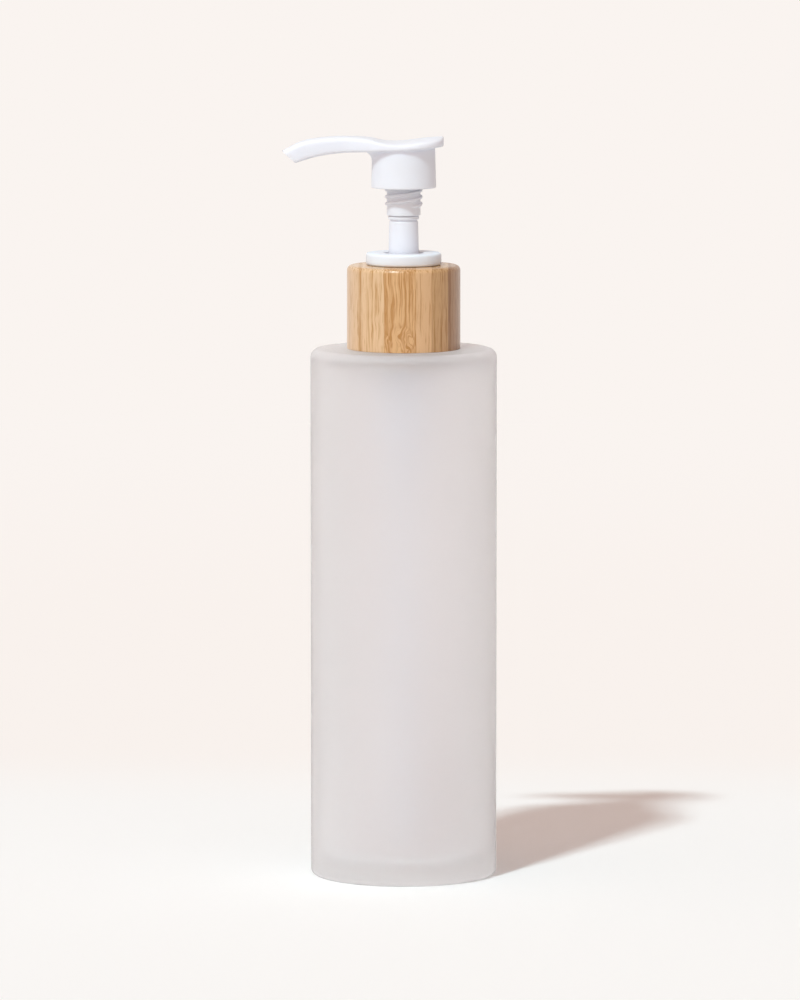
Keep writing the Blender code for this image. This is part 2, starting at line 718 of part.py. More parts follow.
def blade_ring(top, under, half_width, squareness, dish):
    """One cross-section: a rounded box from the top point to the under point, dished on top."""
    points = []
    for step in range(BLADE_RING):
        angle = math.tau * (step + 0.5) / BLADE_RING
        across = math.copysign(abs(math.cos(angle)) ** (2.0 / squareness), math.cos(angle))
        up = math.copysign(abs(math.sin(angle)) ** (2.0 / squareness), math.sin(angle))
        share = (up + 1.0) / 2.0
        x = under[0] + (top[0] - under[0]) * share
        z = under[1] + (top[1] - under[1]) * share
        if up > 0.0:
            z -= dish * (1.0 - across ** 2) * up
        points.append((x, half_width * across, z))
    return points


def blade():
    """Pad and nozzle in one loft along X, from the pad's back edge to the nozzle's tip."""
    back = skirt_radius + LIP_OVERHANG
    side = skirt_radius + PAD_OVERHANG
    edge_place = -skirt_radius - back
    width_line = [(-skirt_radius, side)] + list(NOZZLE_HALF_WIDTH)
    top_line = [(edge_place, PAD_BACK_TOP), (-skirt_radius, PAD_MIDDLE_TOP)] + list(NOZZLE_TOP)
    under_line = [(edge_place, PAD_BACK_UNDER), (-skirt_radius, 0.0)] + list(NOZZLE_UNDER)
    rings = []
    for angle in np.linspace(math.radians(PAD_END_DEGREES), 0.0, PAD_RINGS):
        x = back * math.sin(angle)
        edge = PAD_EDGE_DROP * max(0.0, math.sin(angle) - PAD_EDGE_START) / (1.0 - PAD_EDGE_START)
        along = -skirt_radius - x
        top = pad_low + smooth(top_line, along) - edge
        under = pad_low + smooth(under_line, along)
        rings.append(blade_ring((x, top), (x, under), pad_half_width(x), BLADE_SQUARENESS,
                                PAD_DISH * math.cos(angle)))
    for along in np.linspace(-skirt_radius, NOZZLE_LENGTH, NOZZLE_RINGS)[1:]:
        past = max(0.0, along - SLANT_START) / (NOZZLE_LENGTH - SLANT_START)
        lean = TIP_SLANT * past ** SLANT_POWER
        far = min(1.0, (along + skirt_radius) / skirt_radius)
        top = (-skirt_radius - along, pad_low + smooth(top_line, along))
        under = (top[0] + lean, pad_low + smooth(under_line, along - lean))
        squareness = BLADE_SQUARENESS + (TIP_SQUARENESS - BLADE_SQUARENESS) * far
        rings.append(blade_ring(top, under, smooth(width_line, along), squareness,
                                PAD_DISH * (1.0 - far)))
    return lofted("actuator_head", rings, "white_plastic")


def fillet_web():
    """Concave fillet between the skirt's wall and the nozzle's underside, fading out sideways."""
    wall = skirt_radius - SKIRT_TAPER
    inside = wall - SKIRT_WALL / 2.0
    high = pad_low + SKIRT_EMBED
    rings = []
    for share in np.linspace(-1.0, 1.0, FILLET_RINGS):
        radius = FILLET_LEAST + (FILLET - FILLET_LEAST) * math.sqrt(1.0 - share ** 2)
        under = pad_low + smooth(NOZZLE_UNDER, radius) + FILLET_LEAST
        outline = [(inside, high), (wall + radius, high)]
        for step in range(CORNER_STEPS + 1):
            angle = math.pi / 2.0 * (1.0 + step / CORNER_STEPS)
            outline.append((wall + radius + radius * math.cos(angle),
                            under - radius + radius * math.sin(angle)))
        outline.append((inside, under - radius))
        turn = math.pi + math.radians(FILLET_HALF_ANGLE) * float(share)
        rings.append([(r * math.cos(turn), r * math.sin(turn), z) for r, z in outline])
    return lofted("nozzle_fillet", rings)


def actuator_head():
    """Press head in one moulding: pad and nozzle, skirt, threaded boss and outlet channel."""
    ceiling = pad_low - SKIRT_CEILING_DROP
    top = pad_low + SKIRT_EMBED
    head = blade()
    skirt = turned("skirt_and_boss", (
        (0.0, top),
        (skirt_radius - SKIRT_TAPER, top),
        (skirt_radius, skirt_low, EDGE_ROUND),
        (skirt_inner, skirt_low),
        (skirt_inner, ceiling),
        (boss_radius, ceiling),
        (boss_radius, boss_low),
        (boss_bore, boss_low),
        (boss_bore, boss_bore_top),
        (0.0, boss_bore_top),
    ), closed=False, steps=MIDDLE_STEPS)
    combine(head, skirt, "UNION")
    combine(head, fillet_web(), "UNION")
    lead = BOSS_THREAD_PITCH * BOSS_THREAD_STARTS
    low = boss_low + BOSS_PLAIN + BOSS_RIDGE_ROOT
    for start in range(BOSS_THREAD_STARTS):
        thread = ridge(f"boss_thread_{start + 1}", boss_radius, boss_crest, BOSS_RIDGE_ROOT,
                       BOSS_RIDGE_CREST, lead, low, BOSS_THREAD_TURNS,
                       math.tau * start / BOSS_THREAD_STARTS)
        combine(head, thread, "UNION")
    line = [(0.0, 0.0, boss_bore_top - CHANNEL_RADIUS),
            (0.0, 0.0, boss_bore_top + 2.0 * CHANNEL_RADIUS)]
    for along in np.linspace(CHANNEL_LINE[0][0], CHANNEL_LINE[-1][0], CHANNEL_POINTS):
        line.append((-skirt_radius - float(along), 0.0, pad_low + smooth(CHANNEL_LINE, along)))
    channel = add_object("outlet_channel", tube("outlet_channel", line, CHANNEL_RADIUS))
    combine(head, channel, "DIFFERENCE")
    shade = head.modifiers.new("shade", "WEIGHTED_NORMAL")
    shade.keep_sharp = True
    return head


def joint(name, height, parent=None):
    """Empty on the axis that carries what moves together."""
    empty = bpy.data.objects.new(name, None)
    PIECES.objects.link(empty)
    empty.empty_display_size = JOINT_SIZE
    empty.location = (0.0, 0.0, height)
    carry(parent, empty)
    return empty


def carry(parent, *children):
    """Parent objects and leave them where they are."""
    bpy.context.view_layer.update()
    for child in children:
        if parent:
            child.parent = parent
            child.matrix_parent_inverse = parent.matrix_world.inverted()


def build():
    """Make every piece and hang it on what carries it."""
    bottle = glass_bottle()
    lift = joint("pump_lift_out", lip_z, bottle)
    rise = joint("pump_rise", flange_low, lift)
    turn = joint("closure_turn", closure_ceiling, rise)
    press = joint("press_stroke", disc_top, rise)
    swivel = joint("head_swivel", boss_low, press)
    lag = joint("piston_lag", rod_seat_top, press)
    inlet = joint("ball_lift", ball_z, rise)
    carry(lift, neck_gasket())
    carry(rise, pump_housing(), lock_ring(), dip_tube(), return_spring())
    carry(turn, screw_closure(), bamboo_collar())
    carry(press, pump_stem(), piston_rod())
    carry(swivel, actuator_head())
    carry(lag, piston())
    carry(inlet, check_ball())
    bpy.context.view_layer.update()
    print("lip", round(lip_z, 5), "disc top", round(disc_top, 5), "pad", round(pad_low, 5),
          "collar radius", round(collar_radius, 5), "skirt radius", round(skirt_radius, 5))


build()
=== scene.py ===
# %% [markdown]
# A lotion bottle with a press pump
#
# The real object is a straight bottle of frosted glass. A screw cap hidden in a turned bamboo ring
# holds a white plastic pump, and pressing the pump's head sends lotion out of the long nozzle.
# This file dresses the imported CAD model: the joints and the overall sizes stay, and every piece
# gets its fine surface and its finish. Lengths are in metres, Z is up, and the axis of the bottle
# is Z.

import math

import bmesh
import bpy
import numpy as np
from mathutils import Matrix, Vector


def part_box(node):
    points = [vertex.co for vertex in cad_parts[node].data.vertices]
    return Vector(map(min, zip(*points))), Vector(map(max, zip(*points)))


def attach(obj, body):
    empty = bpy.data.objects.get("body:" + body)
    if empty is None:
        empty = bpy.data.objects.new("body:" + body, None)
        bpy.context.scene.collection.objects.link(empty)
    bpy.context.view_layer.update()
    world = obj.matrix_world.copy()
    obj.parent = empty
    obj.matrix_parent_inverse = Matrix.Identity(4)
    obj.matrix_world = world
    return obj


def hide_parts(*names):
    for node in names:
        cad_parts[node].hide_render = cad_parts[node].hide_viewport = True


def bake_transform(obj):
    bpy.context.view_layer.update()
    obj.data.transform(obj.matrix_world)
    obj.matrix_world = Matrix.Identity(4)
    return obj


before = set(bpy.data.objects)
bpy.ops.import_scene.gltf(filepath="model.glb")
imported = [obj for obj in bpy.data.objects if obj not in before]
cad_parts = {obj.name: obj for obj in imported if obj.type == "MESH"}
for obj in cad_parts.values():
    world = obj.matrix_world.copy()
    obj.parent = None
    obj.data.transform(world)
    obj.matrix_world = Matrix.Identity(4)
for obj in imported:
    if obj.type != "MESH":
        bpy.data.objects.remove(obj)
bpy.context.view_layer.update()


def span(node):
    """Outer radius, lowest height and highest height of a CAD node that is round about Z."""
    low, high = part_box(node)
    return float(high.x), float(low.z), float(high.z)


# %% [markdown]
# Camera
#
# The camera stands two metres away with a long lens, a little above the object, so that verticals
# stay nearly parallel. Its place and tilt put the bottle where the picture has it, and the lens is
# given for a frame 36 mm tall.

# %% Camera
CAMERA_PLACE = (-0.000985, -2.0, 0.326)
CAMERA_TILT = 83.59              # degrees from straight down
LENS = 269.6                     # mm

camera_data = bpy.data.cameras.new("camera")
camera_data.sensor_fit = "VERTICAL"
camera_data.sensor_height = 36.0
camera_data.lens = LENS
camera = bpy.data.objects.new("camera", camera_data)
camera.location = CAMERA_PLACE
camera.rotation_euler = (math.radians(CAMERA_TILT), 0.0, 0.0)
bpy.context.scene.collection.objects.link(camera)
bpy.context.scene.camera = camera
bpy.context.scene.view_settings.view_transform = "Standard"
print("camera", CAMERA_PLACE, "tilt", CAMERA_TILT)

# %% [markdown]
# Shader maths as Python
#
# A node tree is easier to read as a formula. The class below wraps one socket, and its operators
# add Math nodes, so that 1 - mask * 0.5 is written as it would be on paper. The method add() of a
# finish makes a node of any other kind: it sets the node's own settings first and its sockets next.


# %% Shader maths as Python
class Value:
    """A shader socket that can be used in sums, differences and products."""

    def __init__(self, tree, socket):
        self.tree = tree
        self.socket = socket

    def math(self, operation, *inputs):
        """Add a Math node and give its result."""
        node = self.tree.nodes.new("ShaderNodeMath")
        node.operation = operation
        for place, item in zip(node.inputs, inputs):
            if isinstance(item, Value):
                self.tree.links.new(item.socket, place)
            else:
                place.default_value = item
        return Value(self.tree, node.outputs[0])

    def __add__(self, other):
        return self.math("ADD", self, other)

    __radd__ = __add__

    def __sub__(self, other):
        return self.math("SUBTRACT", self, other)

    def __rsub__(self, other):
        return self.math("SUBTRACT", other, self)

    def __mul__(self, other):
        return self.math("MULTIPLY", self, other)

    __rmul__ = __mul__

    def larger(self, other):
        """The larger of two values."""
        return self.math("MAXIMUM", self, other)

    def root(self):
        """The square root."""
        return self.math("SQRT", self)

    def size(self):
        """The value without its sign."""
        return self.math("ABSOLUTE", self)

    def over(self, limit):
        """1 where the value is over the limit, else 0."""
        return self.math("GREATER_THAN", self, limit)

    def under(self, limit):
        """1 where the value is under the limit, else 0."""
        return self.math("LESS_THAN", self, limit)

    def ramp(self, low, high):
        """0 up to low, 1 from high on, and an eased slope between."""
        node = self.tree.nodes.new("ShaderNodeMapRange")
        node.interpolation_type = "SMOOTHSTEP"
        self.tree.links.new(self.socket, node.inputs[0])
        node.inputs[1].default_value = low
        node.inputs[2].default_value = high
        return Value(self.tree, node.outputs[0])


class Finish:
    """One node material around a Principled shader, whose constant sockets are given by name."""

    def __init__(self, name, **constants):
        self.material = bpy.data.materials.new(name)
        self.material.use_nodes = True
        self.tree = self.material.node_tree
        self.shader = self.tree.nodes["Principled BSDF"]
        for label, value in constants.items():
            self.shader.inputs[label.replace("_", " ")].default_value = value

    def add(self, kind, settings=(), sockets=(), output=0):
        """Add a node: first its settings, then the values or links of its sockets."""
        node = self.tree.nodes.new(kind)
        for key, value in dict(settings).items():
            setattr(node, key, value)
        for key, value in dict(sockets).items():
            if isinstance(value, Value):
                self.tree.links.new(value.socket, node.inputs[key])
            else:
                node.inputs[key].default_value = value
        return Value(self.tree, node.outputs[output])

    def place(self):
        """The point in the object's own metres."""
        return self.add("ShaderNodeTexCoord", output=3)

    def stretched(self, scale):
        """The point times a scale along each axis."""
        return self.add("ShaderNodeMapping", sockets={0: self.place(), 3: scale})

    def axes(self):
        """The three coordinates of the point."""
        node = self.tree.nodes.new("ShaderNodeSeparateXYZ")
        self.tree.links.new(self.place().socket, node.inputs[0])
        return [Value(self.tree, socket) for socket in node.outputs]

    def noise(self, vector, scale=1.0, detail=3.0):
        """Noise between 0 and 1."""
        return self.add("ShaderNodeTexNoise", sockets={
            "Vector": vector, "Scale": scale, "Detail": detail, "Roughness": 0.5, "Distortion": 0.0})

    def blend(self, share, first, second):
        """Color that goes from the first to the second as share goes from 0 to 1."""
        ends = [item if isinstance(item, Value) else (*item, 1.0) for item in (first, second)]
        return self.add("ShaderNodeMix", {"data_type": "RGBA"}, {0: share, 6: ends[0], 7: ends[1]}, 2)

    def set(self, label, value):
        """Feed one of the shader's sockets."""
        self.tree.links.new(value.socket, self.shader.inputs[label])

    def overlay(self, share, **constants):
        """Lay a second Principled shader over the first, by a share from 0 to 1."""
        second = self.tree.nodes.new("ShaderNodeBsdfPrincipled")
        for label, value in constants.items():
            second.inputs[label.replace("_", " ")].default_value = value
        first = Value(self.tree, self.shader.outputs[0])
        mixed = self.add("ShaderNodeMixShader", sockets={
            0: share, 1: first, 2: Value(self.tree, second.outputs[0])})
        self.tree.links.new(mixed.socket, self.tree.nodes["Material Output"].inputs[0])

    def bump(self, height, distance, strength):
        """Feed the shader's normal from a height between 0 and 1, worth distance in metres."""
        self.set("Normal", self.add("ShaderNodeBump", sockets={
            "Strength": strength, "Distance": distance, "Height": height}))


print("shader helpers ready")

# %% [markdown]
# Floor, backdrop and light
#
# The picture shows a pale table that runs into a pale wall, lit from the front left, with a warm
# fill. A single large floor does for both, because the camera looks down a little. Its color changes
# from the table's to the wall's a hand's width behind the bottle, and far away it fades into the
# color that the world shows to the camera, so that no edge shows from any side. The key light is
# three small suns side by side, which soften the shadow's edge. The fill grows a little with height,
# and it is stronger from the front and the left. The key light is cool and the fill is warm: that is
# what gives the warm shadow.

# %% Floor, backdrop and light
WALL_SHOWN = (0.955, 0.904, 0.871)
TABLE_COLOR = (0.955, 0.955, 0.955)
WALL_COLOR = (0.955, 0.920, 0.902)
BOUNCE_COLOR = (0.76, 0.76, 0.76)
FLOOR_REACH = 3.0                # half the floor's side
BLEND_START, BLEND_END = 0.110, 0.240
FADE_START, FADE_END = 0.45, 1.2
FILL_COLOR = (0.607, 0.483, 0.436)
HORIZON_LEVEL = 0.88             # of the fill color, at the horizon
OVERHEAD_LEVEL = 0.180           # more than that straight above
RIGHT_LOSS = 0.38                # how much weaker the fill is from the right
BACK_LOSS = 0.45                 # and from behind
KEY_COLOR = (0.767, 0.955, 1.0)
KEY_STRENGTH = 2.02
KEY_SIZE = 2.2                   # degrees across
KEY_PLACES = ((25.5, 52.0), (28.0, 51.5), (30.5, 51.5))   # degrees left of the camera, and up


def shown_only(finish, color):
    """A shader that shows one even color."""
    return finish.add("ShaderNodeEmission", sockets={0: (*color, 1.0), 1: 1.0})


def shown_share(tree):
    """1 for rays from the camera, off shiny surfaces and through glass, and 0 for diffuse light."""
    paths = tree.nodes.new("ShaderNodeLightPath")
    share = Value(tree, paths.outputs["Is Camera Ray"])
    for label in ("Is Glossy Ray", "Is Transmission Ray"):
        share = share.larger(Value(tree, paths.outputs[label]))
    return share


floor_mesh = bpy.data.meshes.new("floor")
corners = np.array([(-1, -1, 0), (1, -1, 0), (1, 1, 0), (-1, 1, 0)], float) * FLOOR_REACH
floor_mesh.from_pydata(corners.tolist(), [], [(0, 1, 2, 3)])
floor = bpy.data.objects.new("floor", floor_mesh)
bpy.context.scene.collection.objects.link(floor)

table = Finish("table", Roughness=0.9)
table.shader.inputs["Specular IOR Level"].default_value = 0.0
x, y, z = table.axes()
paint = table.blend(y.ramp(BLEND_START, BLEND_END), TABLE_COLOR, WALL_COLOR)
table.set("Base Color", table.blend(shown_share(table.tree), BOUNCE_COLOR, paint))
far = (x * x + y * y).root().ramp(FADE_START, FADE_END)
lit = Value(table.tree, table.shader.outputs[0])
faded = table.add("ShaderNodeMixShader", sockets={0: far, 1: lit, 2: shown_only(table, WALL_SHOWN)})
table.tree.links.new(faded.socket, table.tree.nodes["Material Output"].inputs[0])
floor_mesh.materials.append(table.material)

world = bpy.data.worlds.new("room")
bpy.context.scene.world = world
world.use_nodes = True
tree = world.node_tree
sky = tree.nodes.new("ShaderNodeTexCoord")
split = tree.nodes.new("ShaderNodeSeparateXYZ")
tree.links.new(sky.outputs["Generated"], split.inputs[0])
rightward, backward, upward = [Value(tree, socket) for socket in split.outputs]
fill = tree.nodes["Background"]
fill.inputs[0].default_value = (*FILL_COLOR, 1.0)
height = upward.larger(0.0)
sideways = 1.0 - RIGHT_LOSS * rightward - BACK_LOSS * backward
level = (HORIZON_LEVEL + OVERHEAD_LEVEL * height) * sideways
tree.links.new(level.socket, fill.inputs[1])
shown = tree.nodes.new("ShaderNodeBackground")
shown.inputs[0].default_value = (*WALL_SHOWN, 1.0)
choice = tree.nodes.new("ShaderNodeMixShader")
tree.links.new(shown_share(tree).socket, choice.inputs[0])
tree.links.new(fill.outputs[0], choice.inputs[1])
tree.links.new(shown.outputs[0], choice.inputs[2])
tree.links.new(choice.outputs[0], tree.nodes["World Output"].inputs[0])

for left, height in KEY_PLACES:
    key_data = bpy.data.lights.new("key", "SUN")
    key_data.color = KEY_COLOR
    key_data.energy = KEY_STRENGTH / len(KEY_PLACES)
    key_data.angle = math.radians(KEY_SIZE)
    key = bpy.data.objects.new("key", key_data)
    key.rotation_euler = (math.radians(90.0 - height), 0.0, math.radians(-left))
    bpy.context.scene.collection.objects.link(key)
print("floor", 2 * FLOOR_REACH, "m across, key lights", KEY_PLACES)

# %% [markdown]
# Turned outlines
#
# Nearly every piece of a pump is round about one axis. Such a piece is an outline of radius and
# height carried round Z. Moulded and blown parts have no sharp corners, so most corners take a
# fillet, drawn as an arc. A short length beside each arc keeps smooth shading flat on the flats, and
# a straight that carries a thread is cut finely enough to bend into the thread.

# %% Turned outlines
ARC_STEPS = 7
SUPPORT = 0.0004                 # length of the support beside an arc
AROUND = 160                     # columns round a turned piece
SHARP_ANGLE = math.radians(35.0)


def outline(corners, closed=True):
    """Points of an outline of corners (radius, height, fillet, cuts).

    A fillet of radius f at a corner of half angle a starts f / tan(a) from it, and its middle lies
    f / sin(a) along the corner's bisector. The straight after a corner gets the given cuts.
    """
    rows = [(*c, 0.0, 0)[:4] if len(c) == 2 else (*c, 0)[:4] for c in corners]
    count = len(rows)
    arcs = []
    for i, (radius, height, fillet, cuts) in enumerate(rows):
        here = np.array((radius, height))
        if fillet <= 0.0 or (not closed and i in (0, count - 1)):
            arcs.append(here[None])
            continue
        back = np.array(rows[i - 1][:2]) - here
        ahead = np.array(rows[(i + 1) % count][:2]) - here
        back_length, ahead_length = np.hypot(*back), np.hypot(*ahead)
        back, ahead = back / back_length, ahead / ahead_length
        half = math.acos(np.clip(back @ ahead, -1.0, 1.0)) / 2.0
        reach = min(fillet / math.tan(half), 0.49 * min(back_length, ahead_length))
        fillet = reach * math.tan(half)
        bisector = (back + ahead) / np.hypot(*(back + ahead))
        middle = here + bisector * fillet / math.sin(half)
        start = here + back * reach - middle
        end = here + ahead * reach - middle
        sweep = math.atan2(start[0] * end[1] - start[1] * end[0], start @ end)
        turn = sweep * np.linspace(0.0, 1.0, ARC_STEPS + 1)[:, None]
        side = np.array((-start[1], start[0]))
        arcs.append(middle + start * np.cos(turn) + side * np.sin(turn))
    parts = []
    for i in range(count):
        parts.append(arcs[i])
        if i == count - 1 and not closed:
            break
        begin, finish = arcs[i][-1], arcs[(i + 1) % count][0]
        length = np.hypot(*(finish - begin))
        shares = set(np.linspace(0.0, 1.0, rows[i][3] + 2)[1:-1].round(6))
        if length > 4.0 * SUPPORT:
            shares |= {SUPPORT / length, 1.0 - SUPPORT / length}
        shares = np.array(sorted(shares))[:, None]
        if len(shares):
            parts.append(begin + (finish - begin) * shares)
    return np.concatenate(parts)


def shade(mesh):
    """Shade a mesh smoothly, and keep the edges sharp that turn more than the sharp angle."""
    mesh.shade_smooth()
    mesh.set_sharp_from_angle(angle=SHARP_ANGLE)


def surface(name, points, wrap_rows=False, finish=None):
    """A closed piece from a grid of points, whose columns join round.

    Rows join round too when wrap_rows is set. Otherwise a first or last row in one spot is a pole,
    and any other is closed with a face. Faces point outwards, which the signed volume tells.
    """
    rows, columns = points.shape[:2]
    row = np.arange(rows if wrap_rows else rows - 1)[:, None]
    column = np.arange(columns)[None]
    next_row, next_column = (row + 1) % rows, (column + 1) % columns
    quads = np.stack([row * columns + column, row * columns + next_column,
                      next_row * columns + next_column, next_row * columns + column], -1)
    quads = quads.reshape(-1, 4)
    flat = points.reshape(-1, 3)
    a, b, c, d = (flat[quads[:, k]] for k in range(4))
    volume = np.einsum("ij,ij->", a, np.cross(b, c)) + np.einsum("ij,ij->", a, np.cross(c, d))
    faces = quads.tolist()
    if not wrap_rows:
        faces += [list(range(columns))[::-1], list(range((rows - 1) * columns, rows * columns))]
    if volume < 0.0:
        faces = [face[::-1] for face in faces]
    mesh = bpy.data.meshes.new(name)
    mesh.from_pydata(flat.tolist(), [], faces)
    clean = bmesh.new()
    clean.from_mesh(mesh)
    bmesh.ops.remove_doubles(clean, verts=clean.verts, dist=1e-7)
    clean.to_mesh(mesh)
    clean.free()
    shade(mesh)
    if finish:
        mesh.materials.append(finish.material)
    piece = bpy.data.objects.new(name, mesh)
    bpy.context.scene.collection.objects.link(piece)
    return piece


def turned(name, corners, finish=None, closed=True, shape=None, around=AROUND):
    """Carry an outline round Z: the point (r, z) goes to (r cos t, r sin t, z).

    shape(radius, angle, height) may give a changed radius and height, for threads and the like.
    """
    profile = outline(corners, closed)
    radius, height = profile[:, :1], profile[:, 1:]
    angle = np.linspace(0.0, math.tau, around, endpoint=False)[None]
    radius, angle, height = np.broadcast_arrays(radius, angle, height)
    if shape:
        radius, height = shape(radius, angle, height)
    points = np.stack([radius * np.cos(angle), radius * np.sin(angle), height], -1)
    return surface(name, points, wrap_rows=closed, finish=finish)


def settle(piece, body):
    """Hang a finished piece on its body, for the CAD node of the same job."""
    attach(piece, body)
    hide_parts(piece.name.removesuffix("_shape"))
    print(piece.name, len(piece.data.polygons), "faces")


print("outline helpers ready")

# %% [markdown]
# Threads
#
# A thread is a ridge that winds round a wall and climbs by its lead in each turn. On a turned
# surface it needs no new mesh: the wall's own points move out, or in for a nut, by the height of
# the ridge at their angle and height. Towards both ends the ridge sinks to a fifth of its height,
# and there it stops bluntly.

# %% Threads
RUNOUT = math.radians(30.0)
BLUNT = math.radians(6.0)


def thread_height(angle, height, start_z, lead, turns, half_root, half_crest, start_angle=0.0):
    """Height of a ridge, from 0 to 1, at points given by angle and height.

    At swept angle s the ridge's middle is at start_z + lead * s / turn. Beside it the height falls
    from 1 at half_crest to 0 at half_root, eased. Towards both ends it falls to a fifth.
    """
    first = np.mod(angle - start_angle, math.tau)
    whole = math.tau * turns
    best = np.zeros_like(first)
    for lap in range(math.ceil(turns) + 1):
        swept = first + math.tau * lap
        middle = start_z + lead * swept / math.tau
        flank = np.clip((half_root - np.abs(height - middle)) / (half_root - half_crest), 0.0, 1.0)
        ends = np.clip((np.minimum(swept, whole - swept) + BLUNT) / RUNOUT, 0.0, 1.0)
        ridge = flank * flank * (3.0 - 2.0 * flank) * ends
        best = np.maximum(best, np.where(swept <= whole, ridge, 0.0))
    return best


print("thread helper ready")

# %% [markdown]
# Frosted glass
#
# The bottle is clear glass, etched on the outside only. The etched skin scatters what comes
# through it, so the pump inside is a pale blur, and the smooth inside adds little. A rough
# transmitting shader on a real closed wall does this. The roughness is high on the outer skin and
# low on the inner one, found from the distance to the axis and the height. A very fine grain keeps
# the sheen from looking like plastic, and a thin rough coat adds to that sheen. The shoulder is paler
# than the wall, so there a share of a plain pale shader is laid over the glass. That layer is partly
# painted light: it also lifts the shade and the dark reflection that the collar puts on the shoulder.

# %% Frosted glass
BOTTLE_RADIUS, _, LIP = span("glass_bottle")
BODY_HEIGHT = 0.14225            # table to the flat of the shoulder, 0.35 mm over the CAD model's
GLASS_WALL = 0.0028
GLASS_BASE = 0.0054
GLASS_SHOULDER = 0.0025
NECK_RADIUS = 0.0108
NECK_BORE = 0.0080
SHOULDER_PALE_SHARE = 0.38            # share of the pale shader on the shoulder

frost = Finish("frosted_glass", Base_Color=(0.952, 0.938, 0.948, 1.0), IOR=1.5,
               Transmission_Weight=0.97, Roughness=0.5, Coat_Weight=0.3, Coat_Roughness=0.4)
x, y, z = frost.axes()
from_axis = (x * x + y * y).root()
below_shoulder = z.under(BODY_HEIGHT - GLASS_SHOULDER / 2.0)
in_body = from_axis.under(BOTTLE_RADIUS - GLASS_WALL / 2.0) * below_shoulder
in_bore = from_axis.under((NECK_RADIUS + NECK_BORE) / 2.0)
inside = in_body.larger(in_bore) * z.over(GLASS_BASE / 2.0)
grain = frost.noise(frost.place(), scale=9000.0, detail=2.0)
frost.set("Roughness", (0.74 + 0.10 * grain) * (1.0 - inside) + 0.08 * inside)
frost.bump(grain, 0.00002, 0.6)
on_shoulder = z.ramp(BODY_HEIGHT - 0.0040, BODY_HEIGHT - 0.0003) * z.under(BODY_HEIGHT + 0.0002)
# pale layer on the shoulder: partly paler glass, partly painted light against the collar's shade
pale_layer_and_painted_light = on_shoulder * (1.0 - inside) * SHOULDER_PALE_SHARE
frost.overlay(pale_layer_and_painted_light, Base_Color=(0.86, 0.83, 0.84, 1.0), Roughness=0.6)
print("frosted glass")

# %% [markdown]
# Glass bottle
#
# Blown in a mould: a straight cylinder, a flat shoulder with a small round, a short neck with one
# thread ridge, and a thick flat base. It is one closed wall, outer skin and inner skin, because
# light has to pass through both.

# %% Glass bottle
NECK_PITCH = 0.003175
THREAD_TURNS = 1.5
THREAD_DEPTH = 0.00105
THREAD_DROP = 0.0024             # lip to the thread's upper end
THREAD_START = LIP - THREAD_DROP - NECK_PITCH * THREAD_TURNS
THREAD_ROOT, THREAD_CREST = 0.0011, 0.0005   # half the ridge's width at the wall and on top


def neck_thread(radius, angle, height):
    """Move the neck's outer wall out under the thread's ridge."""
    ridge = thread_height(angle, height, THREAD_START, NECK_PITCH, THREAD_TURNS,
                          THREAD_ROOT, THREAD_CREST)
    return radius + THREAD_DEPTH * ridge * (np.abs(radius - NECK_RADIUS) < 1e-5), height


inner = BOTTLE_RADIUS - GLASS_WALL
ceiling = BODY_HEIGHT - GLASS_SHOULDER
bottle = turned("glass_bottle_shape", (
    (NECK_RADIUS, LIP, 0.0006, 70),
    (NECK_RADIUS, BODY_HEIGHT, 0.0010, 4),
    (BOTTLE_RADIUS, BODY_HEIGHT, 0.0023, 12),
    (BOTTLE_RADIUS, 0.0, 0.0015, 6),
    (0.0, 0.0),
    (0.0, GLASS_BASE, 0.0, 6),
    (inner, GLASS_BASE, 0.0030, 12),
    (inner, ceiling, 0.0030, 4),
    (NECK_BORE, ceiling, 0.0010, 6),
    (NECK_BORE, LIP, 0.0006, 4),
), frost, shape=neck_thread, around=192)
settle(bottle, "bottle")

# %% [markdown]
# Bamboo
#
# A bamboo ring is turned from a block glued up from flat strips. Each strip has its own tone, its
# fibres run along the axis as fine darker streaks, and they don't continue across a glue line. So
# the pattern is worked out in the block, from the point's place and not from the surface: strips
# are bands of X, and fibres are noise stretched along Z. The two strips towards +X are painted
# darker still: painted shade on the collar's right side, which faces away from the key light. Thick
# dark bundles of fibres stand at places of their own, and the end grain on top gets a few more
# flecks. One strip holds a node of the stalk, where the fibres swirl and close into rings.

# %% Bamboo
COLLAR_RADIUS, COLLAR_LOW, COLLAR_TOP = span("bamboo_collar")
STRIP_EDGES = (-0.0110, -0.0052, 0.0033, 0.0075, 0.0118)
# Strip colors from -X to +X; the last two also carry painted shade for the collar's right side.
STRIP_TONES_AND_SHADE = ((0.733, 0.497, 0.295), (0.733, 0.495, 0.287), (0.695, 0.420, 0.198),
                (0.695, 0.433, 0.225), (0.545, 0.320, 0.138), (0.385, 0.205, 0.085))
STRIP_GRAIN = (0.30, 0.45, 1.0, 0.0, 0.6, 0.6)      # how thick the streaks stand in each strip
STREAK_TINT = (0.64, 0.48, 0.23)                     # times the strip's own color
# Each bundle's place across the strips, half its width and its strength
BUNDLES = ((-0.0116, 0.00085, 0.80), (-0.0098, 0.00030, 0.35), (-0.0084, 0.00035, 0.45),
           (-0.0052, 0.00018, 0.60), (-0.0034, 0.00110, 0.40), (-0.0011, 0.00030, 0.35),
           (0.0005, 0.00025, 0.55), (0.0016, 0.00035, 0.70), (0.0024, 0.00025, 0.60),
           (0.0031, 0.00022, 0.85), (0.0075, 0.00025, 0.55), (0.0083, 0.00025, 0.45),
           (0.0102, 0.00025, 0.50), (0.0123, 0.00055, 0.85), (0.0141, 0.00030, 0.40))
NODE_PLACE = (-0.0010, -0.0150, 0.1450)
NODE_REACH = (0.0050, 0.006, 0.0062)

